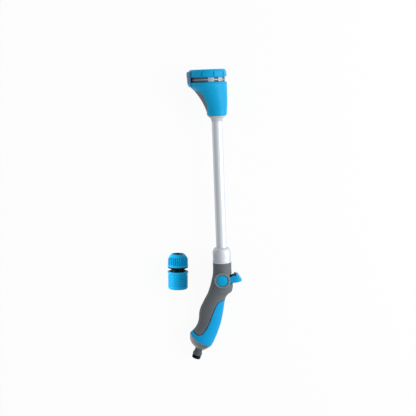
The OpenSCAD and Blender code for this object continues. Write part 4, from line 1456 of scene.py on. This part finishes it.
# Where the world turns grey in reflections, to the left, and how grey it gets
GREY_FROM = (-0.35, -0.05)
GREY_TO = (0.32, 1.0)


def maths(tree, operation, first, second):
    """What an operation makes of an output and of another output or a number."""
    node = tree.nodes.new("ShaderNodeMath")
    node.operation = operation
    tree.links.new(first, node.inputs[0])
    if isinstance(second, bpy.types.NodeSocket):
        tree.links.new(second, node.inputs[1])
    else:
        node.inputs[1].default_value = second
    return node.outputs["Value"]


def seen_share(tree, share):
    """A share on rays from the camera, in reflections and through clear parts, and none on the rest."""
    rays = tree.nodes.new("ShaderNodeLightPath").outputs
    seen = maths(tree, "MAXIMUM", rays["Is Camera Ray"], rays["Is Glossy Ray"])
    seen = maths(tree, "MAXIMUM", seen, rays["Is Transmission Ray"])
    return maths(tree, "MULTIPLY", seen, share)


def end_in_mix(tree, end, share, first, second):
    """Ends a tree in a mix of two shaders, by the share of the second."""
    mix = tree.nodes.new("ShaderNodeMixShader")
    tree.links.new(share, mix.inputs["Fac"])
    tree.links.new(first, mix.inputs[1])
    tree.links.new(second, mix.inputs[2])
    tree.links.new(mix.outputs["Shader"], tree.nodes[end].inputs["Surface"])


def pale_floor():
    """White floor that keeps a soft shadow."""
    material = bpy.data.materials.new("pale_floor")
    material.use_nodes = True
    tree = material.node_tree
    shader = tree.nodes["Principled BSDF"]
    shader.inputs["Base Color"].default_value = FLOOR_COLOUR
    shader.inputs["Roughness"].default_value = 0.9
    shader.inputs["Specular IOR Level"].default_value = 0.1
    glow = tree.nodes.new("ShaderNodeEmission")
    share = seen_share(tree, FLOOR_GLOW)
    end_in_mix(tree, "Material Output", share, shader.outputs["BSDF"], glow.outputs["Emission"])
    sheet = bmesh.new()
    bmesh.ops.create_grid(sheet, x_segments=1, y_segments=1, size=FLOOR_HALF)
    floor = add_object("floor", mesh_of("floor", sheet))
    floor.data.materials.append(material)
    floor.location.z = FLOOR_Z


def grey_side(tree):
    """Strength of the world: white to the camera, and greyer to the left in reflections."""
    rays = tree.nodes.new("ShaderNodeLightPath")
    direction = tree.nodes.new("ShaderNodeTexCoord")
    parts = tree.nodes.new("ShaderNodeSeparateXYZ")
    tree.links.new(direction.outputs["Generated"], parts.inputs["Vector"])
    shade = ranged(tree, parts.outputs["X"], GREY_FROM, GREY_TO)
    return maths(tree, "MAXIMUM", shade, rays.outputs["Is Camera Ray"])


def white_room():
    """World: white where it is seen, and dimmer as a light."""
    world = bpy.data.worlds.new("white_room")
    world.use_nodes = True
    bpy.context.scene.world = world
    tree = world.node_tree
    dim = tree.nodes["Background"]
    dim.inputs["Color"].default_value = (1, 1, 1, 1)
    dim.inputs["Strength"].default_value = ROOM_LEVEL
    bright = tree.nodes.new("ShaderNodeBackground")
    bright.inputs["Color"].default_value = (1, 1, 1, 1)
    tree.links.new(grey_side(tree), bright.inputs["Strength"])
    share = seen_share(tree, 1.0)
    end_in_mix(tree, "World Output", share, dim.outputs["Background"], bright.outputs["Background"])


def soft_lamp(name, place, aim, size, power):
    """Square soft lamp that looks at a point."""
    lamp = bpy.data.lights.new(name, "AREA")
    lamp.shape = "SQUARE"
    lamp.size = size
    lamp.energy = power
    holder = add_object(name, lamp)
    turn = (Vector(place) - Vector(aim)).to_track_quat("Z", "Y")
    holder.matrix_world = Matrix.Translation(place) @ turn.to_matrix().to_4x4()
    return holder


def lit_from_left():
    """The pieces that the photograph shows lit from the left: the loose connector and the end cap."""
    bodies = ("connector", "collar", "gripper", "nut")
    found = [item for item in bpy.context.scene.objects if item.get("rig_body") in bodies]
    return found + [bpy.data.objects["end_cap_skin"]]


def limit_lamp(lamp, pieces, state):
    """Lets a lamp light only some pieces (INCLUDE) or all but them (EXCLUDE)."""
    group = bpy.data.collections.new(f"{lamp.name}_pieces")
    for piece in pieces:
        group.objects.link(piece)
    for entry in group.collection_objects:
        entry.light_linking.link_state = state
    lamp.light_linking.receiver_collection = group


# Camera of the photograph, on the wand's own axes
LOOKS_AT = Vector((-20.2, 0, 94.6))
CAMERA_RAISE = math.radians(8.8)
CAMERA_ROLL = math.radians(2.15)
CAMERA_AWAY = 1450
CAMERA_LENS = 75.3
CAMERA_SENSOR = 36


def photo_camera():
    """Camera at the photograph's distance, height and lean."""
    back = Vector((0, -math.cos(CAMERA_RAISE), math.sin(CAMERA_RAISE)))
    level = Vector((1, 0, 0))
    plumb = back.cross(level)
    right = level * math.cos(CAMERA_ROLL) - plumb * math.sin(CAMERA_ROLL)
    up = level * math.sin(CAMERA_ROLL) + plumb * math.cos(CAMERA_ROLL)
    turn = wand_place().to_3x3() @ Matrix((right, up, back)).transposed()
    lens = bpy.data.cameras.new("photo_camera")
    lens.lens = CAMERA_LENS
    lens.sensor_width = CAMERA_SENSOR
    camera = add_object("photo_camera", lens)
    spot = wand_place() @ (LOOKS_AT + back * CAMERA_AWAY)
    camera.matrix_world = Matrix.Translation(spot) @ turn.to_quaternion().to_matrix().to_4x4()
    bpy.context.scene.camera = camera


class SPRAYWAND_OT_stage(Operator):
    """Sets the floor, the lamps and the camera"""
    bl_idname = "spraywand.stage"
    bl_label = "Stage"

    def execute(self, context):
        context.scene.view_settings.view_transform = "Standard"
        pale_floor()
        white_room()
        left_lit = lit_from_left()
        key = soft_lamp("key_lamp", (1.05, 0.12, 0.52), aim=(0, 0, 0.02), size=1.1, power=10.5)
        limit_lamp(key, left_lit, "EXCLUDE")
        side = soft_lamp("side_lamp", (-1.0, 0.1, 0.32), aim=(-0.045, -0.09, 0.018), size=0.4, power=12)
        limit_lamp(side, left_lit, "INCLUDE")
        photo_camera()
        return {"FINISHED"}


class SPRAYWAND_PT_build(Panel):
    """Lists the steps that build the wand"""
    bl_idname = "SPRAYWAND_PT_build"
    bl_label = "Spray Wand"
    bl_space_type = "VIEW_3D"
    bl_region_type = "UI"
    bl_category = "Spray Wand"

    def draw(self, context):
        for step in STEPS:
            self.layout.operator(step.bl_idname)
        for group in (context.scene.spray_wand_sizes, context.scene.spray_wand_colours):
            box = self.layout.box()
            for name in type(group).__annotations__:
                box.prop(group, name)


STEPS = (
    SPRAYWAND_OT_finishes,
    SPRAYWAND_OT_tube,
    SPRAYWAND_OT_handle,
    SPRAYWAND_OT_grip,
    SPRAYWAND_OT_inlet,
    SPRAYWAND_OT_lever,
    SPRAYWAND_OT_head,
    SPRAYWAND_OT_selector,
    SPRAYWAND_OT_spray_face,
    SPRAYWAND_OT_connector,
    SPRAYWAND_OT_inner_parts,
    SPRAYWAND_OT_stage,
)
CLASSES = (SprayWandSizes, SprayWandColours) + STEPS + (SPRAYWAND_PT_build,)


def register():
    for item in CLASSES:
        bpy.utils.register_class(item)
    bpy.types.Scene.spray_wand_sizes = PointerProperty(type=SprayWandSizes)
    bpy.types.Scene.spray_wand_colours = PointerProperty(type=SprayWandColours)


def unregister():
    del bpy.types.Scene.spray_wand_colours
    del bpy.types.Scene.spray_wand_sizes
    for item in reversed(CLASSES):
        bpy.utils.unregister_class(item)


def main():
    register()
    bpy.ops.spraywand.finishes()
    bpy.ops.spraywand.tube()
    bpy.ops.spraywand.handle()
    bpy.ops.spraywand.grip()
    bpy.ops.spraywand.inlet()
    bpy.ops.spraywand.lever()
    bpy.ops.spraywand.head()
    bpy.ops.spraywand.selector()
    bpy.ops.spraywand.spray_face()
    bpy.ops.spraywand.connector()
    bpy.ops.spraywand.inner_parts()
    bpy.ops.spraywand.stage()


if __name__ == "__main__":
    main()
